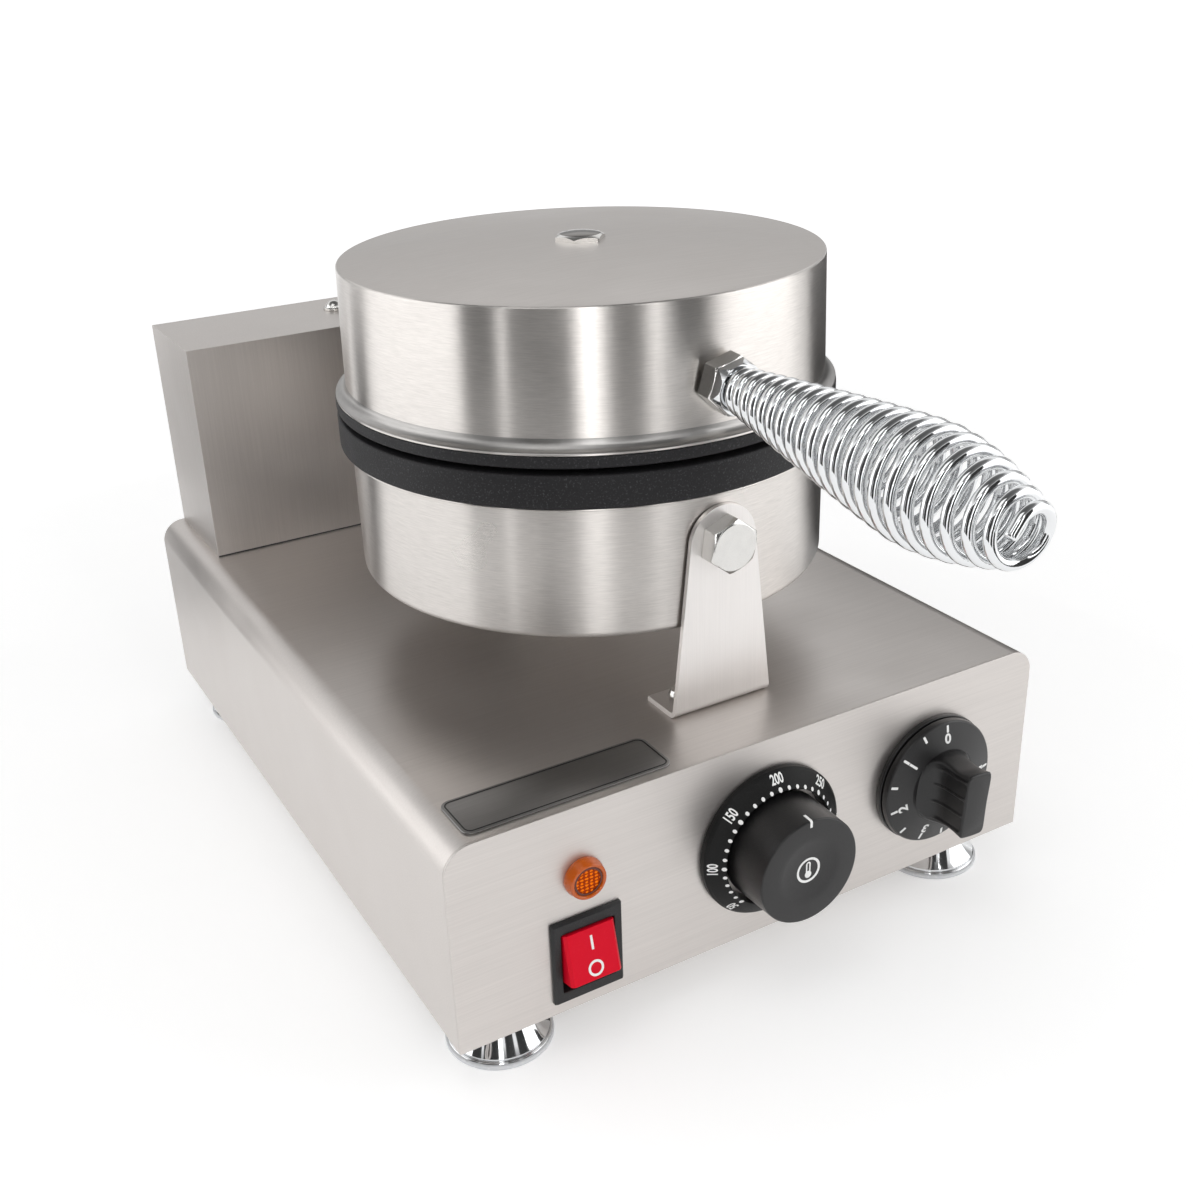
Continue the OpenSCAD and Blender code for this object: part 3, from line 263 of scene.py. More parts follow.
def stacked(outline, rows):
    """Rows of one outline: each (inset, height) of rows gives the outline drawn in and lifted."""
    return np.stack([np.column_stack([shrunk(outline, inset), np.full(len(outline), height)])
                     for inset, height in rows])


def rim(edge, height):
    """(inset, height) rows of a plate of that height with both rims rounded by a quarter circle."""
    q = np.linspace(0, np.pi / 2, 4)
    low = np.column_stack([edge * (1 - np.sin(q)), edge * (1 - np.cos(q))])
    return np.concatenate([low, np.column_stack([low[::-1, 0], height - low[::-1, 1]])])


def slab(outline, height, edge=0.05):
    """Plate of an outline, with rounded rims."""
    return outward(capped(stacked(outline, rim(edge, height))))


def band(outline, width, height):
    """Flat ring of that width inside an outline."""
    outer, inner = rim(PRINT_EDGE, height), rim(PRINT_EDGE, height)[::-1]
    inner = np.column_stack([width - inner[:, 0], inner[:, 1]])
    return outward(grid(stacked(outline, np.concatenate([outer, inner])), rows_closed=True))


def circle(radius, steps=48):
    """Outline of the points (radius cos a, radius sin a)."""
    a = full_turn(steps)
    return radius * np.column_stack([np.cos(a), np.sin(a)])


def rectangle(width, height, radius, steps=5):
    """Outline about the origin, its corners rounded."""
    w, h = width / 2, height / 2
    return fillet([(w, -h, radius), (w, h, radius), (-w, h, radius), (-w, -h, radius)], steps)


def moved(surface, matrix):
    """The surface under a 4 x 4 matrix."""
    m = np.array(matrix, float)
    return surface[0] @ m[:3, :3].T + m[:3, 3], surface[1]


def shifted(surface, x, y, z=0.0):
    """The surface moved along the axes."""
    return surface[0] + np.array([x, y, z]), surface[1]


def laid(surface, height_of):
    """The surface lifted, point by point, by a height that depends on its x and y."""
    verts = surface[0].copy()
    verts[:, 2] += height_of(verts[:, 0], verts[:, 1])
    return verts, surface[1]


def on_front(surface, x, z):
    """From the front panel's own axes (right, up, towards the cook) to the frame's."""
    return moved(surface, Matrix(((1, 0, 0, x), (0, 0, -1, FRONT_Y), (0, 1, 0, z), (0, 0, 0, 1))))


def handle_matrix():
    """From the handle's own axes, +Z outwards, to the frame's."""
    place = Matrix.Translation((0, DRUM_Y - DRUM_R, LID_LOW[2] + HANDLE_RISE))
    return place @ Matrix.Rotation(math.radians(90 + HANDLE_DROOP), 4, "X")


def turned(surface, degrees):
    """The surface turned clockwise, as the cook sees it, about the local Z axis."""
    return moved(surface, Matrix.Rotation(-math.radians(degrees), 4, "Z"))


def lettering(text, height, squeeze=1.0, weight=0.02):
    """Thin solid glyphs of a number, centred, with digits of that height."""
    curve = bpy.data.curves.new("glyphs", "FONT")
    curve.body, curve.align_x, curve.align_y = text, "CENTER", "CENTER"
    curve.extrude, curve.resolution_u, curve.offset = 0.5, 5, weight
    obj = linked("glyphs", curve)
    bpy.context.view_layer.update()
    mesh = bpy.data.meshes.new_from_object(obj.evaluated_get(bpy.context.evaluated_depsgraph_get()))
    verts = np.empty(len(mesh.vertices) * 3)
    mesh.vertices.foreach_get("co", verts)
    verts = verts.reshape(-1, 3)
    faces = [list(p.vertices) for p in mesh.polygons]
    bpy.data.objects.remove(obj)
    bpy.data.curves.remove(curve)
    bpy.data.meshes.remove(mesh)
    low, high = verts.min(0), verts.max(0)
    scale = height / (high[1] - low[1])
    verts = (verts - (low + high) / 2) * np.array([scale * squeeze, scale, sizes().mark])
    return verts + np.array([0, 0, sizes().mark / 2]), faces


# Pieces

def linked(name, data):
    """A new object of the scene."""
    obj = bpy.data.objects.new(name, data)
    bpy.context.scene.collection.objects.link(obj)
    return obj


def slot_of(node):
    """The slot of a node, by what the record says of its parts."""
    return next(part["material_slot"] for part in frame["record"]["subparts"] if part["node"] == node)


def show(name, mesh, body, finish):
    """Links a mesh as a piece that rides on a body. More than one finish is for paint_faces."""
    obj = linked(name, mesh)
    for material in [finish] if isinstance(finish, str) else finish:
        mesh.materials.append(material_named(material))
    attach(obj, body)
    return obj


def merged_mesh(name, verts, faces, dissolve=None):
    """Mesh of points in metres with doubled points merged and, where asked, flat faces joined."""
    mesh = bpy.data.meshes.new(name)
    mesh.from_pydata(verts.tolist(), [], faces)
    shape = bmesh.new()
    shape.from_mesh(mesh)
    bmesh.ops.remove_doubles(shape, verts=shape.verts, dist=2e-6)
    if dissolve is not None:
        bmesh.ops.dissolve_limit(shape, angle_limit=dissolve, verts=shape.verts, edges=shape.edges)
    shape.to_mesh(mesh)
    shape.free()
    mesh.shade_smooth()
    return mesh


def piece(name, surface, body, finish, crease=38):
    """A new piece from a surface in millimetres; faces that meet at more than crease degrees stay crisp."""
    mesh = merged_mesh(name, surface[0] * MM, surface[1])
    mesh.set_sharp_from_angle(angle=math.radians(crease))
    return show(name, mesh, body, finish)


def stand_in(node, surface, finish, crease=38):
    """A new piece in place of a node of the frame, on the node's body."""
    obj = piece(node + "_piece", surface, frame["nodes"][node]["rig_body"], finish, crease)
    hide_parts(node)
    return obj


def eased(node, finish, edge, steps=2):
    """A piece with the shape of the node of the frame that it replaces, its edges rounded."""
    source = frame["nodes"][node]
    verts = np.empty(len(source.data.vertices) * 3)
    source.data.vertices.foreach_get("co", verts)
    faces = [list(p.vertices) for p in source.data.polygons]
    mesh = merged_mesh(node + "_piece", verts.reshape(-1, 3), faces, math.radians(0.6))
    obj = show(node + "_piece", mesh, source["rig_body"], finish)
    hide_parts(node)
    bevel = obj.modifiers.new("edges", "BEVEL")
    bevel.width, bevel.segments, bevel.limit_method = edge * MM, steps, "ANGLE"
    bevel.angle_limit = math.radians(28)
    even = obj.modifiers.new("even shading", "WEIGHTED_NORMAL")
    even.keep_sharp = False


def face_values(obj, key):
    """The normals or centres of a piece's faces, as rows of three."""
    values = np.empty(len(obj.data.polygons) * 3)
    obj.data.polygons.foreach_get(key, values)
    return values.reshape(-1, 3)


def paint_faces(obj, index):
    """Gives each face the finish of its index."""
    obj.data.polygons.foreach_set("material_index", index.astype(np.int32))


# Finishes

def add_node(tree, kind, **settings):
    """A shader node with its properties; in_ and the name or number of an input sets that input's value."""
    node = tree.nodes.new("ShaderNode" + kind)
    for key, value in settings.items():
        if key.startswith("in_"):
            key = key[3:]
            node.inputs[int(key) if key.isdigit() else key.replace("_", " ")].default_value = value
        else:
            setattr(node, key, value)
    return node


def set_values(node, values):
    """Sets a node's inputs by their names."""
    for key, value in values.items():
        node.inputs[key].default_value = value


def wire(tree, *links):
    """Links sockets, each given as node, output, node, input."""
    for start, output, end, entry in links:
        tree.links.new(start.outputs[output], end.inputs[entry])


def soft_range(tree, start, end, low, high):
    """Node that carries a value softly from low to high while it goes from start to end."""
    return add_node(
        tree, "MapRange", interpolation_type="SMOOTHSTEP", in_1=start, in_2=end, in_3=low, in_4=high)


def effect_group(name, inputs, outputs, fill):
    """Shared shader group, made and filled when it is first asked for. An input with a value is a number
    and one without is a vector; of the outputs only Normal is a vector."""
    found = bpy.data.node_groups.get(name)
    if found:
        return found
    tree = bpy.data.node_groups.new(name, "ShaderNodeTree")
    for text, value in inputs.items():
        kind = "NodeSocketVector" if value is None else "NodeSocketFloat"
        socket = tree.interface.new_socket(text, in_out="INPUT", socket_type=kind)
        if value is not None:
            socket.default_value = value
    for text in outputs:
        kind = "NodeSocketVector" if text == "Normal" else "NodeSocketFloat"
        tree.interface.new_socket(text, in_out="OUTPUT", socket_type=kind)
    fill(tree, tree.nodes.new("NodeGroupInput"), tree.nodes.new("NodeGroupOutput"))
    return tree


def brushed_grain(tree, enter, leave):
    """Fine streaks along the stretched axis of the vector, with broad soft clouds: a streak mask, a cloud
    mask and a normal that follows the streaks."""
    fine = add_node(tree, "TexNoise", in_Scale=1.0, in_Detail=3.0, in_Roughness=0.65)
    broad = add_node(tree, "TexNoise", in_Scale=26.0, in_Detail=2.0, in_Roughness=0.5)
    bump = add_node(tree, "Bump", in_Distance=0.0002)
    wire(tree, (enter, "Streaks", fine, "Vector"), (enter, "Place", broad, "Vector"),
         (enter, "Depth", bump, "Strength"), (fine, "Fac", bump, "Height"), (fine, "Fac", leave, "Streak"),
         (broad, "Fac", leave, "Cloud"), (bump, "Normal", leave, "Normal"))


def fine_speckle(tree, enter, leave):
    """Small bright specks and a shallow grain: a speck mask, a cloud mask and a normal that follows the
    grain."""
    grain = add_node(tree, "TexNoise", in_Detail=2.0, in_Roughness=0.6)
    speck = add_node(tree, "MapRange", in_1=0.57, in_2=0.7)
    broad = add_node(tree, "TexNoise", in_Scale=45.0, in_Detail=2.0)
    bump = add_node(tree, "Bump", in_Distance=0.0003)
    wire(tree, (enter, "Place", grain, "Vector"), (enter, "Grain", grain, "Scale"),
         (grain, "Fac", speck, "Value"), (enter, "Place", broad, "Vector"),
         (enter, "Depth", bump, "Strength"), (grain, "Fac", bump, "Height"),
         (speck, "Result", leave, "Speck"), (broad, "Fac", leave, "Cloud"), (bump, "Normal", leave, "Normal"))


def screen_dots(tree, enter, leave):
    """Round dots in straight rows, as a mask."""
    cells = add_node(tree, "TexVoronoi", voronoi_dimensions="2D",
                     in_Scale=1 / (LAMP_PITCH * MM), in_Randomness=0.0)
    inside = soft_range(tree, 0.24, 0.42, 1.0, 0.0)
    turn = add_node(tree, "Mapping", in_Rotation=(math.pi / 2, math.pi / 4, 0))
    wire(tree, (enter, "Place", turn, "Vector"), (turn, "Vector", cells, "Vector"),
         (cells, "Distance", inside, "Value"), (inside, "Result", leave, "Dot"))


def blank_finish(name):
    """Material with its node tree, its main shader and the node of the object's own coordinates."""
    material = bpy.data.materials.new(name)
    material.use_nodes = True
    tree = material.node_tree
    return material, tree, tree.nodes["Principled BSDF"], add_node(tree, "TexCoord")


def two_tones(tree, effect, mask, low, high, shader):
    """Colours the shader with a blend of two colours by a mask of the effect."""
    mix = add_node(tree, "Mix", data_type="RGBA", in_A=(*low, 1), in_B=(*high, 1))
    wire(tree, (effect, mask, mix, "Factor"), (mix, "Result", shader, "Base Color"))


def uneven(tree, effect, low, high, shader):
    """Spreads the shader's roughness from low to high by the effect's clouds, and bends its normal."""
    spread = soft_range(tree, 0.1, 0.9, low, high)
    wire(tree, (effect, "Cloud", spread, "Value"), (spread, "Result", shader, "Roughness"),
         (effect, "Normal", shader, "Normal"))


def shade(colour):
    """A colour, or the setting of that name."""
    return getattr(colours(), colour) if isinstance(colour, str) else colour


def metal_finish(name, colour, roughness, stretch, contrast, depth, anisotropic=0.0):
    """Metal with brushed streaks. Stretch is the streak density along each axis, per metre."""
    material, tree, shader, place = blank_finish(name)
    set_values(shader, {"Metallic": 1.0, "Anisotropic": anisotropic, "Anisotropic Rotation": 0.25})
    mapping = add_node(tree, "Mapping", in_Scale=stretch)
    group = effect_group("brushed grain", {"Streaks": None, "Place": None, "Depth": 0.06},
                         ("Streak", "Cloud", "Normal"), brushed_grain)
    grain = add_node(tree, "Group", node_tree=group, in_Depth=depth)
    wire(tree, (place, "Object", mapping, "Vector"), (place, "Object", grain, "Place"),
         (mapping, "Vector", grain, "Streaks"))
    colour = np.array(shade(colour))
    two_tones(tree, grain, "Streak", colour * (1 - contrast), np.minimum(colour * (1 + contrast), 1), shader)
    uneven(tree, grain, roughness * 0.88, roughness * 1.14, shader)
    return material


def grained_finish(name, colour, speck_colour, roughness, grain, depth, specular=0.5):
    """Plastic, coating, ceramic or paint with a fine grain and specks of another colour."""
    material, tree, shader, place = blank_finish(name)
    set_values(shader, {"Specular IOR Level": specular})
    group = effect_group("fine speckle", {"Place": None, "Grain": 2500.0, "Depth": 0.15},
                         ("Speck", "Cloud", "Normal"), fine_speckle)
    speckle = add_node(tree, "Group", node_tree=group, in_Grain=grain, in_Depth=depth)
    wire(tree, (place, "Object", speckle, "Place"))
    two_tones(tree, speckle, "Speck", shade(colour), shade(speck_colour), shader)
    uneven(tree, speckle, roughness * 0.9, roughness * 1.12, shader)
    return material


def screen_finish(name):
    """Amber plastic with bright dots in straight rows on a darker ground."""
    material, tree, shader, place = blank_finish(name)
    group = effect_group("screen dots", {"Place": None}, ("Dot",), screen_dots)
    rows = add_node(tree, "Group", node_tree=group)
    wire(tree, (place, "Object", rows, "Place"))
    two_tones(tree, rows, "Dot", (0.34, 0.035, 0.001), colours().lamp, shader)
    set_values(shader, {"Roughness": 0.3, "Specular IOR Level": 0.05})
    return material


# Colour, roughness, streaks per metre along each axis, contrast of the streaks, their depth, anisotropy
METALS = {
    "brushed sheet along x": ("sheet", 0.4, (22, 1500, 1500), 0.09, 0.05),
    "brushed sheet along z": ("sheet", 0.4, (1500, 1500, 22), 0.09, 0.05),
    "brushed drum": ("drum", 0.3, (150, 150, 2400), 0.2, 0.24, 0.95),
    # The crown's finish is brushed along x and darker than the drum's, as painted shade on the lid's top; the
    # flare's is darker still, as painted shade in its cove
    "brushed crown": ((0.575, 0.542, 0.517), 0.34, (26, 1700, 1700), 0.12, 0.06),
    "brushed flare": ((0.4, 0.39, 0.38), 0.3, (150, 150, 2400), 0.2, 0.1),
    # A dark copy of the plated steel for the nut's top faces: painted shade
    "polished nut top": ((0.17, 0.16, 0.15), 0.12, (200, 200, 200), 0.1, 0.03),
    # A brighter copy of the sheet: painted highlight on the brackets
    "bracket sheet": ((0.88, 0.85, 0.83), 0.38, (1500, 1500, 22), 0.06, 0.04),
    "bright chrome": ("chrome", 0.07, (90, 90, 90), 0.02, 0.01),
    "plated steel": ((0.7, 0.69, 0.67), 0.17, (260, 260, 260), 0.07, 0.05),
    "ground steel": ((0.42, 0.42, 0.42), 0.26, (1400, 120, 120), 0.1, 0.05),
    "satin steel": ((0.27, 0.27, 0.27), 0.42, (200, 200, 900), 0.12, 0.1),
    "bush bronze": ((0.52, 0.27, 0.09), 0.34, (500, 500, 500), 0.12, 0.08),
    "heater sheath": ((0.11, 0.085, 0.07), 0.45, (160, 160, 160), 0.3, 0.1),
    "copper": ((0.6, 0.26, 0.14), 0.3, (220, 220, 220), 0.12, 0.05),
    "badge grey": ("badge", 0.38, (30, 1800, 1800), 0.14, 0.05),
}
# Colour, colour of the specks, roughness, grain per metre, its depth, specular level
OTHERS = {
    "cast coating": ("cast", (0.045, 0.045, 0.048), 0.5, 1500, 0.3, 0.25),
    "satin black": ("knob", (0.024, 0.023, 0.024), 0.3, 3200, 0.2),
    "dull ring black": ((0.01, 0.01, 0.01), (0.02, 0.02, 0.02), 0.42, 3200, 0.18, 0.14),
    "dull black": ((0.04, 0.04, 0.04), (0.07, 0.07, 0.07), 0.55, 2600, 0.2),
    "switch black": ((0.012, 0.012, 0.013), (0.03, 0.03, 0.03), 0.36, 2600, 0.12, 0.35),
    "ceramic wool": ((0.75, 0.7, 0.6), (0.85, 0.82, 0.76), 0.9, 700, 0.8),
    "glazed ceramic": ((0.78, 0.75, 0.66), (0.84, 0.82, 0.74), 0.22, 600, 0.05),
    "pale pad": ((0.68, 0.69, 0.71), (0.78, 0.79, 0.8), 0.4, 900, 0.05),
    "white marks": ("mark", (0.8, 0.8, 0.79), 0.5, 2200, 0.05),
    "rocker red": ("rocker", (0.7, 0.006, 0.024), 0.36, 1500, 0.04, 0.14),
    "amber lens": ((0.62, 0.11, 0.003), (0.7, 0.14, 0.004), 0.08, 900, 0.02, 0.6),
    # A dark amber for the ring inside the lamp's rim: painted shade
    "amber shade": ((0.1, 0.012, 0.001), (0.13, 0.015, 0.001), 0.2, 900, 0.02),
    "pale floor": ("floor", "floor", 0.6, 60, 0.0, 0.1),
    "card black": ((0.03, 0.03, 0.03), (0.03, 0.03, 0.03), 0.8, 60, 0.0),
}
# Shader values that only some finishes have
EXTRAS = {
    "rocker red": {"Subsurface Weight": 0.25, "Subsurface Radius": (0.004, 0.0004, 0.0004),
                   "Subsurface Scale": 1.0},
    "amber lens": {"Transmission Weight": 0.2},
}
SLOT_FINISHES = {
    "brushed_sheet": "brushed sheet along x", "brushed_drum": "brushed drum",
    "bracket_steel": "bracket sheet", "cast_plate": "cast coating", "bright_chrome": "bright chrome",
    "zinc_steel": "plated steel", "ground_steel": "ground steel", "frame_steel": "satin steel",
    "bush_bronze": "bush bronze", "heater_sheath": "heater sheath", "ceramic_wool": "ceramic wool",
    "bulb_copper": "copper", "knob_black": "satin black", "body_plastic": "dull black",
    "switch_black": "switch black", "rocker_red": "rocker red", "lamp_amber": "amber lens",
    "terminal_ceramic": "glazed ceramic", "badge_grey": "badge grey", "pad_pale": "pale pad",
}


def material_named(name):
    """The material of that name, made when it is first asked for."""
    found = bpy.data.materials.get(name)
    if found:
        return found
    if name == "amber screen":
        return screen_finish(name)
    material = metal_finish(name, *METALS[name]) if name in METALS else grained_finish(name, *OTHERS[name])
    set_values(material.node_tree.nodes["Principled BSDF"], EXTRAS.get(name, {}))
    return material


# The base and the housing

class WAFFLE_OT_base(bpy.types.Operator):
    """Make the folded shell, the end panels and the bottom plate of the base"""

    bl_idname = "waffle.base"
    bl_label = "Base Sheets"

    def execute(self, context):
        edge, along = sizes().edge, "brushed sheet along x"
        eased("base_shell", along, 1.4 * edge, steps=3)
        for node in ("front_panel", "rear_panel", "bottom_plate"):
            eased(node, along, edge)
        return {"FINISHED"}


class WAFFLE_OT_housing(bpy.types.Operator):
    """Make the hinge housing with its back cover, a dark strip at its foot as painted shadow, and its dome
    screws
    """

    bl_idname = "waffle.housing"
    bl_label = "Hinge Housing"

    def execute(self, context):
        edge = sizes().edge
        eased("hinge_housing", "brushed sheet along z", 1.4 * edge)
        eased("housing_back", "brushed sheet along z", edge)
        low, high = box_mm("hinge_housing")
        # A thin dull black strip along the housing's foot: painted shadow where it meets the base
        shorter, thick, tall = 0.6, 0.3, 0.6
        foot_shade = slab(rectangle(high[0] - low[0] - shorter, thick, 0.05), tall)
        piece("housing_seam", shifted(foot_shade, 0, low[1], low[2]), "base", "dull black")
        eased("dome_screws", "plated steel", sizes().nut_edge)
        eased("hinge_frame", "satin steel", edge)
        eased("lid_arms", "satin steel", edge)
        return {"FINISHED"}


class WAFFLE_OT_badge(bpy.types.Operator):
    """Make the bare badge plate with its dark border line"""

    bl_idname = "waffle.badge"
    bl_label = "Badge Plate"

    def execute(self, context):
        size, centre = BADGE_HIGH - BADGE_LOW, (BADGE_HIGH + BADGE_LOW) / 2
        corner_r, margin, line_w = 4.0, 1.1, 0.55
        outline = rectangle(size[0], size[1], corner_r, 8)
        plate = shifted(slab(outline, size[2], 0.3), centre[0], centre[1], BADGE_LOW[2])
        stand_in("badge_plate", plate, "badge grey")
        line = band(shrunk(outline, margin), line_w, sizes().mark)
        piece("badge_border", shifted(line, centre[0], centre[1], BADGE_HIGH[2]), "base", "switch black")
        return {"FINISHED"}


class WAFFLE_OT_feet(bpy.types.Operator):
    """Make the four bell-shaped chrome feet, a dark ring in each foot's groove as painted shade, and their
    pale pads
    """

    bl_idname = "waffle.feet"
    bl_label = "Feet"

    def execute(self, context):
        low, high = box_mm("feet")
        pad_high = box_mm("foot_pads")[1]
        foot_r = (high[0] - low[0]) / 2 - FOOT_X
        pad_r, lip, top = foot_r + 0.8, pad_high[2], high[2]
        # The bell's radius is neck_r + (foot_r - neck_r)(1 - u)^bend at share u of its height
        neck_r, bore_r, wall, roof, step, bend = 10.8, 3.0, 1.4, 2.4, 1.6, 1.9
        u = np.linspace(0, 1, 26)
        side = np.column_stack([neck_r + (foot_r - neck_r) * (1 - u) ** bend,
                                lip + step + u * (top - lip - 2 * step)])
        profile = np.concatenate([
            fillet([(bore_r, top - roof, 0), (bore_r, top, 0), (neck_r, top, 0.4)])[:-1], side[::-1][2:-1],
            fillet([(foot_r, lip + step, 0.5), (foot_r, lip, 0.4), (foot_r - wall, lip, 0.2)]),
            side[1:-2] - [wall, 0], [[neck_r - wall, top - roof]]])
        bell = revolved(profile, 96, rows_closed=True)
        groove_r, groove_in, low_z, high_z = 11.15, 10.95, top - 3.1, top - 2.3
        groove = revolved(fillet([(groove_in, low_z, 0), (groove_r, low_z, 0.1), (groove_r, high_z, 0.1),
                                  (groove_in, high_z, 0)]), 96, rows_closed=True)
        pad_in = pad_r - 9
        pad = revolved(fillet([(pad_in, 0, 0.2), (pad_r, 0, 0.5), (pad_r, lip, 0.5), (pad_in, lip, 0.2)]),
                       96, rows_closed=True)

        def four(surface):
            """The surface at each of the four corners."""
            return joined(*[shifted(surface, x, y) for x in (low[0] + foot_r, high[0] - foot_r)
                            for y in (low[1] + foot_r, high[1] - foot_r)])

        stand_in("feet", four(bell), "bright chrome", 50)
        # A dull black ring in each foot's groove: painted shade
        piece("feet_grooves", four(groove), "base", "dull black")
        stand_in("foot_pads", four(pad), "pale pad")
        return {"FINISHED"}


# Drums and plates

class WAFFLE_OT_drums(bpy.types.Operator):
    """Make the lower drum with its lip, and the lid's shell with its flare and its low dome, the dome and the
    flare's cove darker as painted shade
    """

    bl_idname = "waffle.drums"
    bl_label = "Drums"

    def execute(self, context):
        bottom, lip = DRUM_LOW[2], DRUM_HIGH[2]
        lip_r = (DRUM_HIGH[0] - DRUM_LOW[0]) / 2
        cup = fillet([
            (0, bottom, 0), (DRUM_R, bottom, 3.0), (DRUM_R, lip - SHEET, 0.6), (lip_r, lip - SHEET, 0.45),
            (lip_r, lip, 0.45), (DRUM_R - SHEET, lip, 0.3), (DRUM_R - SHEET, bottom + SHEET, 2.0),
            (0, bottom + SHEET, 0)], 8)
        drum = shifted(revolved(cup, sizes().drum_steps), 0, DRUM_Y)
        stand_in("lower_drum", drum, "brushed drum")

        flange, crown = LID_LOW[2], LID_HIGH[2]
        taper_z = flange + 8
        flange_r = (LID_HIGH[0] - LID_LOW[0]) / 2
        flare = flange_r - DRUM_R
        # The flare is a quarter circle about middle, and the crown rises by CROWN_RISE (1 - (r / dome_r)^2)
        arc = np.linspace(0, np.pi / 2, 12)
        middle = np.array([flange_r, flange + SHEET + flare])
        cove = middle - flare * np.column_stack([np.sin(arc), np.cos(arc)])
        under = middle - (flare + SHEET) * np.column_stack([np.sin(arc), np.cos(arc)])
        top_r = DRUM_R - LID_TAPER
        dome_r = top_r - CORNER_IN
        r = np.linspace(dome_r, 0, 24)
        dome = np.column_stack([r, crown + CROWN_RISE * (1 - (r / dome_r) ** 2)])
        shell = np.concatenate([
            under[::-1][:-1],
            [[flange_r - 0.2, flange], [flange_r, flange + 0.2], [flange_r, flange + 0.8],
             [flange_r - 0.2, flange + SHEET]],
            cove[1:], fillet([(DRUM_R, taper_z, 0), (top_r, crown, 0.9), (0, crown, 0)], 9)[1:-1],
            dome, dome[::-1] - [0, SHEET],
            fillet([(0, crown - SHEET, 0), (top_r - SHEET, crown - SHEET, 0.8),
                    (DRUM_R - SHEET, taper_z, 0)], 5)[1:-1]])
        lid = shifted(revolved(shell, sizes().drum_steps, rows_closed=True), 0, DRUM_Y)
        obj = stand_in("lid_shell", lid, ["brushed drum", "brushed crown", "brushed flare"])
        # Faces that face up take the darker crown finish and the flare's cove the darker flare finish:
        # painted shade
        up, height = face_values(obj, "normal")[:, 2], face_values(obj, "center")[:, 2]
        painted_shade_on_flare = (up > 0.06) & (height < (flange + SHEET + flare) * MM)
        paint_faces(obj, np.where(painted_shade_on_flare, 2, up > 0.96))
        return {"FINISHED"}


def waffle_plate(rim_r, thick, plug_r):
    """Cooking plate, hollow upwards, its rim's top at z = 0. The rim is turned from a profile, and the
    hollow is a net of lines laid at the ridges' feet and tops: a ridge rises from its foot to its top
    over a short slope, and where two cross the higher one counts."""
    edge, wall, hollow, plug, rise, sunk, past = sizes().cast_edge, 7.0, 2.6, 6.5, 1.8, 0.05, 6.2
    inner = rim_r - wall
    body = revolved(fillet([
        (0, -thick - plug, 0), (plug_r, -thick - plug, 0.6), (plug_r, -thick, 0.3), (rim_r, -thick, edge),
        (rim_r, 0, edge), (inner + 0.8, 0, 0.5), (inner, -hollow, 0.4), (0, -hollow, 0)], 6),
        sizes().drum_steps)
    pitch, foot, top = 11.0, 2.1, 1.2
    count = int(inner // pitch) + 1
    lines = np.concatenate([i * pitch + np.array([-foot, -top, top, foot]) for i in range(-count, count + 1)])
    height = np.tile([0.0, rise, rise, 0.0], 2 * count + 1)
    x, y = np.meshgrid(lines, lines, indexing="ij")
    z = -hollow - sunk + np.maximum(*np.meshgrid(height, height, indexing="ij"))
    verts, faces = grid(np.stack([x, y, z], -1), columns_closed=False)
    reach = np.hypot(verts[:, 0], verts[:, 1])
    keep = [f for f in faces if max(reach[a] for a in f) < inner + past and min(reach[a] for a in f) < inner]
    return joined(body, (verts, keep))


class WAFFLE_OT_plates(bpy.types.Operator):
    """Make the two cast plates with their waffle ridges"""

    bl_idname = "waffle.plates"
    bl_label = "Cooking Plates"

    def execute(self, context):
        plug_r = DRUM_R - SHEET - 0.3
        top, flange = PLATE_HIGH[2], DRUM_HIGH[2]
        lower = waffle_plate(PLATE_R, top - flange, plug_r)
        stand_in("lower_plate", shifted(lower, 0, DRUM_Y, top), "cast coating")
        low, flange = UPPER_LOW[2], LID_LOW[2]
        verts, faces = waffle_plate(PLATE_R, flange - low, plug_r)
        upper = verts * np.array([1, 1, -1]), [f[::-1] for f in faces]
        stand_in("upper_plate", shifted(upper, 0, DRUM_Y, low), "cast coating")
        return {"FINISHED"}


class WAFFLE_OT_brackets(bpy.types.Operator):
    """Make the drum's brackets, brightened as painted highlight, with their bolts, screws and nuts"""

    bl_idname = "waffle.brackets"
    bl_label = "Brackets And Bolts"

    def execute(self, context):
        edge, nut = sizes().edge, sizes().nut_edge
        for node in ("front_bracket", "rear_bracket"):
            # The brackets' brighter sheet is painted highlight
            eased(node, "bracket sheet", edge)
        for node in ("bracket_bolts", "base_top_screws", "cover_screws", "underside_screws"):
            eased(node, "plated steel", nut)
        eased("cable_gland", "dull black", 0.4)
        return {"FINISHED"}


# The handle

def coil_line(steps):
    """Middle line of the handle's wire. Along t curls it climbs 5.1 t plus a swell that is greatest at
    the widest curls; its radius grows from 6.7 to 17.9 at 68% of its length and falls to 8.2 at the tip.
    It starts three quarters of a curl back, inside the collar."""
    root_r, belly_r, tip_r, belly_at, arc, swell = 6.7, 17.9, 8.2, 0.68, 150.0, 1.77
    pitch, bend, first = 5.1, 1.15, 140

    def climb(t):
        """Height after t curls."""
        return pitch * t + swell * CURLS / arc * 180 / np.pi * (1 - np.cos(np.radians(arc * t / CURLS)))

    t = np.linspace(-0.75, CURLS, (CURLS + 1) * steps)
    u = climb(t) / climb(CURLS)
    grow = root_r + (belly_r - root_r) * (1 - np.maximum(1 - u / belly_at, 0) ** bend)
    fall = tip_r + (belly_r - tip_r) * np.cos(np.pi / 2 * (u - belly_at) / (1 - belly_at))
    r, a = np.where(u < belly_at, grow, fall), np.radians(first + 360 * t)
    return np.column_stack([r * np.cos(a), r * np.sin(a), COIL_START + 2 * WIRE_R + climb(t)])


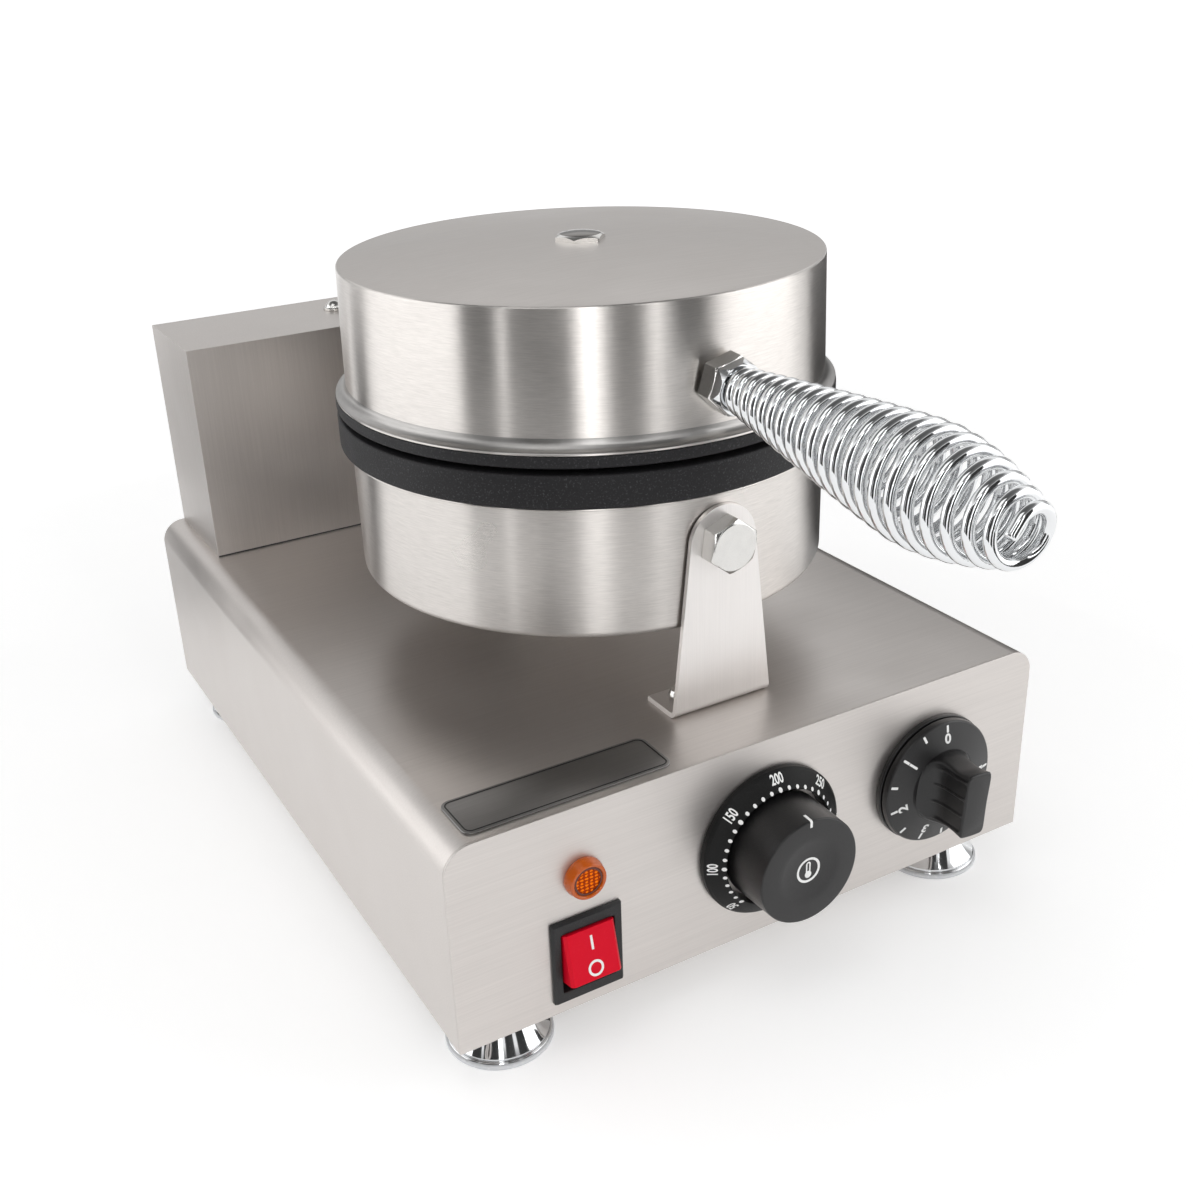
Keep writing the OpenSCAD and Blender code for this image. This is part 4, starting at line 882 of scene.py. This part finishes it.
def tube(line, radii, sides):
    """Round tube: every point of the line carries a circle of its own radius, across the line, that
    starts on the side away from the Z axis."""
    along = np.gradient(line, axis=0)
    along /= np.linalg.norm(along, axis=1)[:, None]
    out = line * np.array([1, 1, 0])
    side = out - along * np.sum(out * along, 1)[:, None]
    side /= np.linalg.norm(side, axis=1)[:, None]
    up = np.cross(along, side)
    a = full_turn(sides)
    ring = side[:, None] * np.cos(a)[:, None] + up[:, None] * np.sin(a)[:, None]
    return outward(grid(line[:, None] + radii[:, None, None] * ring))


def crown_nut(height):
    """Hexagon nut: at angle a its side lies at half / cos(a - the nearest flat's angle). Outside top_r a
    cone of 30 degrees, z = crest - (r - top_r) tan 30, cuts its corners, and inside it the top bulges,
    z = crest + bulge (1 - (r / top_r)^2)."""
    half, top_r, bulge, first = 9.0, 8.2, 0.9, 15.7
    a = full_turn(180)
    flat = np.radians(first + 60 * np.round((np.degrees(a) - first) / 60))
    side = half / np.cos(a - flat)
    crest = height - bulge
    shoulder = crest - (side - top_r) * math.tan(math.radians(30))
    rows = [(0 * a, 0 * a), (side, 0 * a), (side, shoulder), (0 * a + top_r, 0 * a + crest)]
    rows += [(0 * a + r, 0 * a + crest + bulge * (1 - (r / top_r) ** 2)) for r in (6.0, 4.0, 2.0, 0.0)]
    return outward(grid(np.stack([np.column_stack([r * np.cos(a), r * np.sin(a), z]) for r, z in rows])))


class WAFFLE_OT_handle(bpy.types.Operator):
    """Make the coil handle with its nut and collar, and the nut on the lid's crown"""

    bl_idname = "waffle.handle"
    bl_label = "Coil Handle"

    def execute(self, context):
        curve = coil_line(sizes().coil_steps)
        last = curve[-1] - curve[-2]
        last /= np.linalg.norm(last)
        q, end_r = np.linspace(0, np.pi / 2, 7)[1:], 0.8
        straight = curve[-1] + last * np.linspace(0.5, 2 * WIRE_R - end_r, 5)[:, None]
        tip = straight[-1] + last * end_r * np.sin(q)[:, None]
        first = curve[:1] - (curve[1] - curve[0]) * 1e-3
        line = np.concatenate([first, curve, straight, tip, tip[-1:] + last * 1e-3])
        shown_r = WIRE_R - 0.085
        radii = np.full(len(line), shown_r)
        radii[0], radii[-1] = 0, 0
        radii[-7:-1] = shown_r - end_r * (1 - np.cos(q))
        stand_in("handle_coil", moved(tube(line, radii, 18), handle_matrix()), "bright chrome", 60)
        nut = sizes().nut_edge
        eased("handle_nut", "plated steel", nut)
        top = box_mm("top_nut")[1][2]
        centre = (0, DRUM_Y, LID_HIGH[2] + CROWN_RISE - 0.1)
        obj = stand_in("top_nut", shifted(crown_nut(top - centre[2]), *centre),
                       ["plated steel", "polished nut top"], 20)
        # The nut's top faces take the dark copy of the plated steel: painted shade
        paint_faces(obj, face_values(obj, "normal")[:, 2] > 0.95)
        eased("handle_collar", "bright chrome", nut)
        return {"FINISHED"}


# The controls

def dots(radius, places, height):
    """Flat discs at (clockwise angle, distance) places."""
    disc = slab(circle(radius, 20), height, PRINT_EDGE)
    return joined(*[turned(shifted(disc, 0, r), angle) for angle, r in places])


class WAFFLE_OT_thermostat(bpy.types.Operator):
    """Make the thermostat's scale ring with its dots and numbers, and its knob"""

    bl_idname = "waffle.thermostat"
    bl_label = "Thermostat"

    def execute(self, context):
        ring_r, inner, mark = (RING_HIGH[0] - RING_LOW[0]) / 2, 24.6, sizes().mark
        rim_in, face, high = ring_r - 1.0, 3.6, 7.8
        ring = revolved(fillet([(inner, 0, 0.2), (ring_r, 0, 0.2), (ring_r, 2.4, 0.4), (rim_in, face, 0.3),
                                (inner, high, 0.3)]), 192, rows_closed=True)
        stand_in("thermostat_ring", on_front(ring, 0, DIAL_Z), "dull ring black")

        def cone(x, y):
            """Height of the ring's sloping face."""
            return high + (face - high) * (np.hypot(x, y) - inner) / (rim_in - inner)

        start, step, dots_r, text_r = -137, 45.6 / 5, 25.6, 29.3
        small = [(start + step * i, dots_r) for i in range(26) if i % 5]
        large = [(start + step * i, dots_r) for i in range(0, 26, 5)]
        scale = [dots(sizes().dot, small, mark), dots(1.2 * sizes().dot, large, mark)]
        for i, text in enumerate(("50", "100", "150", "200", "250", "300")):
            number = shifted(lettering(text, sizes().digit, 0.8), 0, text_r)
            scale.append(turned(number, start + 5 * step * i))
        piece("thermostat_scale", on_front(laid(joined(*scale), cone), 0, DIAL_Z), "base", "white marks")

        knob_low, knob_high = box_mm("thermostat_knob")
        out, back, knob_r = FRONT_Y - knob_low[1], FRONT_Y - knob_high[1], 22.2
        dish_r, dish = 0.62 * knob_r, 1.1
        sphere_r = (dish_r ** 2 + dish ** 2) / (2 * dish)

        def bowl(x, y):
            """Height of the knob's face: flat, with a shallow part of a sphere in its middle."""
            return out - np.maximum(dish + np.sqrt(sphere_r ** 2 - x ** 2 - y ** 2) - sphere_r, 0)

        r = np.linspace(dish_r - 0.3, 0, 14)
        profile = np.concatenate([
            fillet([(0, back, 0), (knob_r + 0.6, back, 0.3), (knob_r, out, 0.7), (dish_r + 1.2, out, 0)], 8),
            np.column_stack([r, bowl(r, 0 * r)])])
        stand_in("thermostat_knob", on_front(revolved(profile, 160), 0, DIAL_Z), "satin black")

        path = fillet([(19.4, out, 0), (knob_r, out, 0.7), (knob_r + 0.2, out - 4.4, 0)], 8)
        normal = np.stack([np.gradient(path[:, 1]), -np.gradient(path[:, 0])], -1)
        normal *= -mark / np.linalg.norm(normal, axis=1)[:, None]
        section = [(-0.55, 0.3), (-0.55, -1.0), (0.55, -1.0), (0.55, 0.3)]
        rows = np.stack([np.stack([np.full(len(path), x), *(path + k * normal).T], -1)
                         for x, k in section], 1)
        pointer = outward(capped(rows))
        badge = joined(
            band(circle(5.4, 64), 1.0, mark),
            slab(circle(1.5, 24) + [0, -2.0], mark, PRINT_EDGE),
            shifted(band(rectangle(2.1, 5.4, 0.95), 0.6, mark), 0, 0.9))
        marks = joined(pointer, laid(badge, bowl))
        piece("thermostat_knob_marks", on_front(marks, 0, DIAL_Z), "thermostat_dial", "white marks")
        return {"FINISHED"}


def timer_grip(hub, out, reach, width):
    """Bar grip: at share u of its height the bar's half width is w = width/2 + (reach - width/2)(1 - u)^8
    and its half length is L = reach (1 - 0.17 sin^2(0.77 pi u^0.9)). At angle a the side is where these
    and the round hub meet, (|cos a / w|^12 + |sin a / L|^12 + (1 / reach)^12)^(-1/12), which rounds the
    corners between them. Four thin ribs stand on each flank."""
    a = full_turn(900)[None]
    edge = 1.1
    q = np.linspace(0, np.pi / 2, 6)[1:]
    u = np.concatenate([np.linspace(0, 1 - edge / (out - hub), 30), np.ones(5)])[:, None]
    inset = np.concatenate([np.zeros(30), edge * (1 - np.cos(q))])[:, None]
    z = np.concatenate([hub + u[:30, 0] * (out - hub), out - edge + edge * np.sin(q)])
    w = width / 2 + (reach - width / 2) * (1 - u) ** 8
    ends = reach * (1 - 0.17 * np.sin(0.77 * np.pi * u ** 0.9) ** 2)
    y = w * np.abs(np.tan(a))
    ribs = sum(np.exp(-((y - k * 0.46 * reach) / 0.55) ** 4) for k in (0.5, 1.5))
    w = w + 0.45 * ribs * np.clip((u - 0.12) * 8, 0, 1) * np.clip((0.97 - u) * 20, 0, 1)
    rho = ((np.abs(np.cos(a)) / w) ** 12 + (np.abs(np.sin(a)) / ends) ** 12
           + (1 / reach) ** 12) ** (-1 / 12) - inset
    return capped(np.stack([rho * np.cos(a), rho * np.sin(a), np.broadcast_to(z[:, None], rho.shape)], -1))


class WAFFLE_OT_timer(bpy.types.Operator):
    """Make the timer's backing ring and its knob with the marks on its skirt"""

    bl_idname = "waffle.timer"
    bl_label = "Timer"

    def execute(self, context):
        mark, back_r = sizes().mark, (SKIRT_HIGH[0] - SKIRT_LOW[0]) / 2
        bore_r, thick = 5.8, 2.2
        backing = revolved(fillet([(bore_r, 0, 0), (back_r, 0, 0.3), (back_r, thick, 0.5),
                                   (bore_r, thick, 0)]), 192, rows_closed=True)
        stand_in("timer_ring", on_front(backing, TIMER_X, DIAL_Z), "satin black")
        skirt_r, back, face, hub, grip_r = back_r - 0.4, 3.0, 6.0, 8.5, 16.0
        face_r = skirt_r - 0.7
        skirt = revolved(fillet([
            (0, back, 0), (skirt_r, back, 0.3), (skirt_r - 0.2, face - 0.6, 0.3), (face_r, face, 0.3),
            (grip_r, hub, 0.2), (0, hub, 0)]), 192)
        out = FRONT_Y - box_mm("timer_knob")[0][1]
        knob = joined(skirt, turned(outward(timer_grip(hub - 0.4, out, grip_r, 12.6)), TIMER_START))
        stand_in("timer_knob", on_front(knob, TIMER_X, DIAL_Z), "satin black", 44)

        def cone(x, y):
            """Height of the skirt's sloping face."""
            return face + (hub - face) * (face_r - np.hypot(x, y)) / (face_r - grip_r)

        step, bars_r, digits_r, marks = 27.4, (24.6, 24.9), 20.7, []
        for i in range(11):
            bar = slab(rectangle(1.1, 3.0, 0.2), mark, PRINT_EDGE)
            marks.append(turned(shifted(bar, 0, bars_r[i % 2]), TIMER_START - step * i))
        for i in range(6):
            digit = lettering(str(i), sizes().timer_digit, 1.16, 0.03)
            marks.append(turned(shifted(digit, 0, digits_r), TIMER_START - 2 * step * i))
        piece("timer_marks", on_front(laid(joined(*marks), cone), TIMER_X, DIAL_Z), "timer_dial",
              "white marks")
        return {"FINISHED"}


class WAFFLE_OT_lamp(bpy.types.Operator):
    """Make the amber lamp with its rim, a dark inner ring as painted shade, and its dotted screen"""

    bl_idname = "waffle.lamp"
    bl_label = "Lamp"

    def execute(self, context):
        lamp_r, out = (LAMP_HIGH[0] - LAMP_LOW[0]) / 2, FRONT_Y - LAMP_LOW[1]
        inner, screen, pitch, dip = lamp_r - 2.0, out - 0.9, 2.2, 0.2
        rim_shape = revolved(fillet([
            (inner - 0.3, 0, 0), (lamp_r, 0, 0.1), (lamp_r, 1.2, 0.5), (lamp_r - 0.8, out, 0.7),
            (inner, out, 0.6), (inner - 0.3, out - 1.6, 0)]), 96, rows_closed=True)
        r = np.linspace(0, 1, 60)[:, None]
        a = full_turn(180)[None]
        x, y = inner * r * np.cos(a), inner * r * np.sin(a)
        # The screen's pits are dip cos(wave x) cos(wave y) deep
        wave = 2 * np.pi / pitch
        pits = dip * np.clip(np.cos(wave * x) * np.cos(wave * y), -0.2, 1) * (r < 0.93)
        face = grid(np.stack([x, y, screen - pits], -1))
        floor = grid(np.stack([x, y, 0 * x + 0.4], -1)[::-1])
        stand_in("lamp_lens", on_front(rim_shape, SWITCH_X, LAMP_Z), "amber lens", 30)
        piece("lamp_screen", on_front(outward(joined(face, floor)), SWITCH_X, LAMP_Z), "base",
              "amber screen", 30)
        # A dark ring between the rim and the screen: painted shade
        ring = shifted(band(circle(inner - 0.25, 96), 0.8, 0.3), 0, 0, screen)
        piece("lamp_shade", on_front(ring, SWITCH_X, LAMP_Z), "base", "amber shade")
        return {"FINISHED"}


class WAFFLE_OT_switch(bpy.types.Operator):
    """Make the switch's bezel and the red rocker with its marks"""

    bl_idname = "waffle.switch"
    bl_label = "Rocker Switch"

    def execute(self, context):
        width, height = SWITCH_HIGH[0] - SWITCH_LOW[0], SWITCH_HIGH[2] - SWITCH_LOW[2]
        out, window, back = FRONT_Y - SWITCH_LOW[1], (22.2, 26.0), -12.0
        outer = rectangle(width, height, 0.9, 3)
        inner = rectangle(window[0], window[1], 0.6, 3)
        steps = [(outer, 0.0), (outer, 0.9), (shrunk(outer, 0.1), 1.0), (shrunk(outer, 0.75), out - 0.1),
                 (shrunk(outer, 0.85), out), (shrunk(inner, -0.3), out), (shrunk(inner, -0.05), out - 0.25),
                 (inner, out - 0.6), (inner, back), (shrunk(inner, -0.8), back), (shrunk(inner, -0.8), 0.0)]
        rows = np.stack([np.column_stack([line, np.full(len(line), z)]) for line, z in steps])
        bezel = outward(grid(rows, rows_closed=True))
        floor = shifted(slab(rectangle(window[0] + 1, window[1] + 1, 0.5), 1.0), 0, 0, back - 1)
        stand_in("switch_frame", on_front(joined(bezel, floor), SWITCH_X, SWITCH_Z), "switch black", 25)
        eased("rocker", "rocker red", 0.45, steps=3)
        pin, face, tilt = 6.0, 12.0, 14.0
        marks = joined(shifted(slab(rectangle(0.95, 5.6, 0.1), sizes().mark, PRINT_EDGE), 0, 4.6),
                       shifted(band(circle(3.2, 56), 0.95, sizes().mark), 0, -5.6))
        turn = Matrix.Translation((0, 0, -pin)) @ Matrix.Rotation(math.radians(-tilt), 4, "X")
        placed = moved(marks, turn @ Matrix.Translation((0, 0, face)))
        piece("rocker_marks", on_front(placed, SWITCH_X, SWITCH_Z), "power_rocker", "white marks")
        return {"FINISHED"}


class WAFFLE_OT_finishes(bpy.types.Operator):
    """Give each node that is shown as it is the finish of its slot in the record"""

    bl_idname = "waffle.finishes"
    bl_label = "Inner Finishes"

    def execute(self, context):
        for node in frame["nodes"].values():
            if node.hide_render:
                continue
            node.data.materials.clear()
            node.data.materials.append(material_named(SLOT_FINISHES[slot_of(node.name)]))
            paint_faces(node, np.zeros(len(node.data.polygons)))
        return {"FINISHED"}


# Stage and camera

def toward(azimuth, distance, height=0.0):
    """Point at an angle from the front, in metres: 0 is in front, 90 to the right."""
    a = math.radians(azimuth)
    return Vector((distance * math.sin(a), -distance * math.cos(a), height))


def softbox(name, azimuth, distance, height, size, radiance):
    """Soft rectangular light that faces the object, of an even brightness."""
    data = bpy.data.lights.new(name, "AREA")
    data.shape, data.size, data.size_y = "RECTANGLE", size[0], size[1]
    data.energy = radiance * math.pi * size[0] * size[1]
    obj = linked(name, data)
    obj.location = toward(azimuth, distance, height)
    obj.rotation_euler = (Vector((0, 0, 0.2)) - obj.location).to_track_quat("-Z", "Y").to_euler()
    obj.visible_camera = False


def dark_card(start, end, radius, height):
    """Upright dark card on an arc about the object: (radius sin a, -radius cos a, z), a from start to end."""
    a = np.radians(np.linspace(start, end, max(2, int(abs(end - start) // 3) + 2)))
    rows = np.stack([np.column_stack([radius * np.sin(a), -radius * np.cos(a), np.full(len(a), z)])
                     for z in (0.001, height)])
    verts, faces = grid(rows, columns_closed=False)
    mesh = bpy.data.meshes.new("dark card")
    mesh.from_pydata(verts.tolist(), [], faces)
    mesh.materials.append(material_named("card black"))
    obj = linked("dark card", mesh)
    obj.visible_camera = obj.visible_diffuse = obj.visible_shadow = False


def shown_rays(tree):
    """Node that gives 1 for the rays that show the surroundings: camera, glossy and transmission rays."""
    rays = add_node(tree, "LightPath")
    either = add_node(tree, "Math", operation="MAXIMUM")
    any_ray = add_node(tree, "Math", operation="MAXIMUM")
    wire(tree, (rays, "Is Camera Ray", either, 0), (rays, "Is Glossy Ray", either, 1),
         (either, 0, any_ray, 0), (rays, "Is Transmission Ray", any_ray, 1))
    return any_ray


# Name, angle from the front, distance, height, size and brightness
LIGHTS = (
    ("left softbox", -114, 1.5, 0.62, (1.66, 1.1), 0.97),
    ("right softbox", 57, 1.5, 0.62, (1.3, 1.1), 1.35),
    ("front strip", -27, 1.7, 0.9, (0.24, 1.7), 3.4),
    ("thin strip", 1.5, 1.7, 0.9, (0.13, 1.7), 2.9),
    ("side strip", -64, 1.7, 0.9, (0.06, 1.7), 2.2),
    ("top", -60, 0.9, 2.2, (1.2, 1.2), 1.2),
)
# First and last angle from the front, radius and height
CARDS = (
    (-178, -162, 0.62, 0.14), (-151, -138, 0.41, 0.2), (-82, -66, 0.62, 0.6), (-62, -34, 0.62, 0.6),
    (-20, -2, 0.62, 0.6), (6, 26, 0.62, 0.6), (84, 128, 0.36, 0.25),
)
# Height of a direction (0 to 1, up) and the grey of the surroundings there
SKY = ((0.0, 0.95), (0.05, 0.85), (0.12, 0.47), (0.28, 0.49), (0.36, 0.93), (0.48, 1.0), (0.62, 0.97),
       (0.78, 0.2), (1.0, 0.1))


class WAFFLE_OT_stage(bpy.types.Operator):
    """Make the pale floor, the white surroundings, the soft lights and the dark cards that metal reflects"""

    bl_idname = "waffle.stage"
    bl_label = "Stage"

    def execute(self, context):
        reach, white = 40.0, (1, 1, 1, 1)
        mesh = bpy.data.meshes.new("floor")
        mesh.from_pydata([(-reach, -reach, 0), (reach, -reach, 0), (reach, reach, 0), (-reach, reach, 0)],
                         [], [(0, 1, 2, 3)])
        floor = linked("floor", mesh)
        floor.location.z = -2e-5
        pale = material_named("pale floor")
        mesh.materials.append(pale)
        tree = pale.node_tree
        shader, place = tree.nodes["Principled BSDF"], add_node(tree, "TexCoord")
        away = add_node(tree, "VectorMath", operation="LENGTH")
        glow = soft_range(tree, 0.4, 2.2, 0.26, 0.62)
        lift = add_node(tree, "Math", operation="MULTIPLY")
        wire(tree, (place, "Object", away, 0), (away, "Value", glow, "Value"), (glow, "Result", lift, 0),
             (shown_rays(tree), 0, lift, 1), (lift, 0, shader, "Emission Strength"))
        set_values(shader, {"Emission Color": white})

        world = bpy.data.worlds.new("studio")
        world.use_nodes = True
        context.scene.world = world
        tree = world.node_tree
        tree.nodes.clear()
        way, split, room, seen, rays, backdrop, output = [add_node(tree, kind) for kind in (
            "TexCoord", "SeparateXYZ", "ValToRGB", "Mix", "LightPath", "Background", "OutputWorld")]
        stops = room.color_ramp.elements
        for height, _ in SKY[1:-1]:
            stops.new(height)
        for stop, (_, grey) in zip(stops, SKY):
            stop.color = (grey, grey, grey, 1)
        level = add_node(tree, "Math", operation="MAXIMUM")
        set_values(seen, {"A": 0.6})
        set_values(backdrop, {"Color": white})
        wire(tree, (way, "Generated", split, 0), (split, "Z", room, "Fac"), (room, "Color", seen, "B"),
             (shown_rays(tree), 0, seen, "Factor"), (seen, "Result", level, 0),
             (rays, "Is Camera Ray", level, 1), (level, 0, backdrop, "Strength"), (backdrop, 0, output, 0))

        for light in LIGHTS:
            softbox(*light)
        for card in CARDS:
            dark_card(*card)
        context.scene.view_settings.view_transform = "Standard"
        return {"FINISHED"}


class WAFFLE_OT_camera(bpy.types.Operator):
    """Place the camera at the photograph's viewpoint"""

    bl_idname = "waffle.camera"
    bl_label = "Camera"

    def execute(self, context):
        turn = Vector((1.946954, -0.549918, 0.305249))
        right, down, ahead = Matrix.Rotation(turn.length, 3, turn.normalized())
        axes = Matrix((right, -down, -ahead)).transposed()
        data = bpy.data.cameras.new("camera")
        data.lens, data.sensor_width = sizes().lens, 36.0
        data.clip_start, data.clip_end = 0.02, 100
        obj = linked("camera", data)
        obj.matrix_world = Matrix.Translation((-0.27871, -0.49241, 0.38122)) @ axes.to_4x4()
        context.scene.camera = obj
        return {"FINISHED"}


class WAFFLE_PT_panel(bpy.types.Panel):
    """Lists the pieces that can be built"""

    bl_idname = "WAFFLE_PT_panel"
    bl_label = "Waffle Maker"
    bl_space_type = "VIEW_3D"
    bl_region_type = "UI"
    bl_category = "Waffle Maker"

    def draw(self, context):
        for step in STEPS:
            self.layout.operator(step.bl_idname)
        for group in (context.scene.waffle_sizes, context.scene.waffle_colours):
            box = self.layout.box()
            for key in group.__annotations__:
                box.prop(group, key)


STEPS = (
    WAFFLE_OT_camera, WAFFLE_OT_base, WAFFLE_OT_housing, WAFFLE_OT_badge, WAFFLE_OT_feet, WAFFLE_OT_drums,
    WAFFLE_OT_plates, WAFFLE_OT_brackets, WAFFLE_OT_handle, WAFFLE_OT_thermostat, WAFFLE_OT_timer,
    WAFFLE_OT_lamp, WAFFLE_OT_switch, WAFFLE_OT_finishes, WAFFLE_OT_stage,
)
CLASSES = (WaffleSizes, WaffleColours, *STEPS, WAFFLE_PT_panel)


def register():
    """Registers the classes and their settings."""
    for cls in CLASSES:
        bpy.utils.register_class(cls)
    bpy.types.Scene.waffle_sizes = bpy.props.PointerProperty(type=WaffleSizes)
    bpy.types.Scene.waffle_colours = bpy.props.PointerProperty(type=WaffleColours)


def unregister():
    """Takes the classes and their settings out again."""
    del bpy.types.Scene.waffle_colours
    del bpy.types.Scene.waffle_sizes
    for cls in reversed(CLASSES):
        bpy.utils.unregister_class(cls)


def main():
    """Builds everything."""
    register()
    bpy.ops.waffle.camera()
    bpy.ops.waffle.base()
    bpy.ops.waffle.housing()
    bpy.ops.waffle.badge()
    bpy.ops.waffle.feet()
    bpy.ops.waffle.drums()
    bpy.ops.waffle.plates()
    bpy.ops.waffle.brackets()
    bpy.ops.waffle.handle()
    bpy.ops.waffle.thermostat()
    bpy.ops.waffle.timer()
    bpy.ops.waffle.lamp()
    bpy.ops.waffle.switch()
    bpy.ops.waffle.finishes()
    bpy.ops.waffle.stage()


if __name__ == "__main__":
    main()
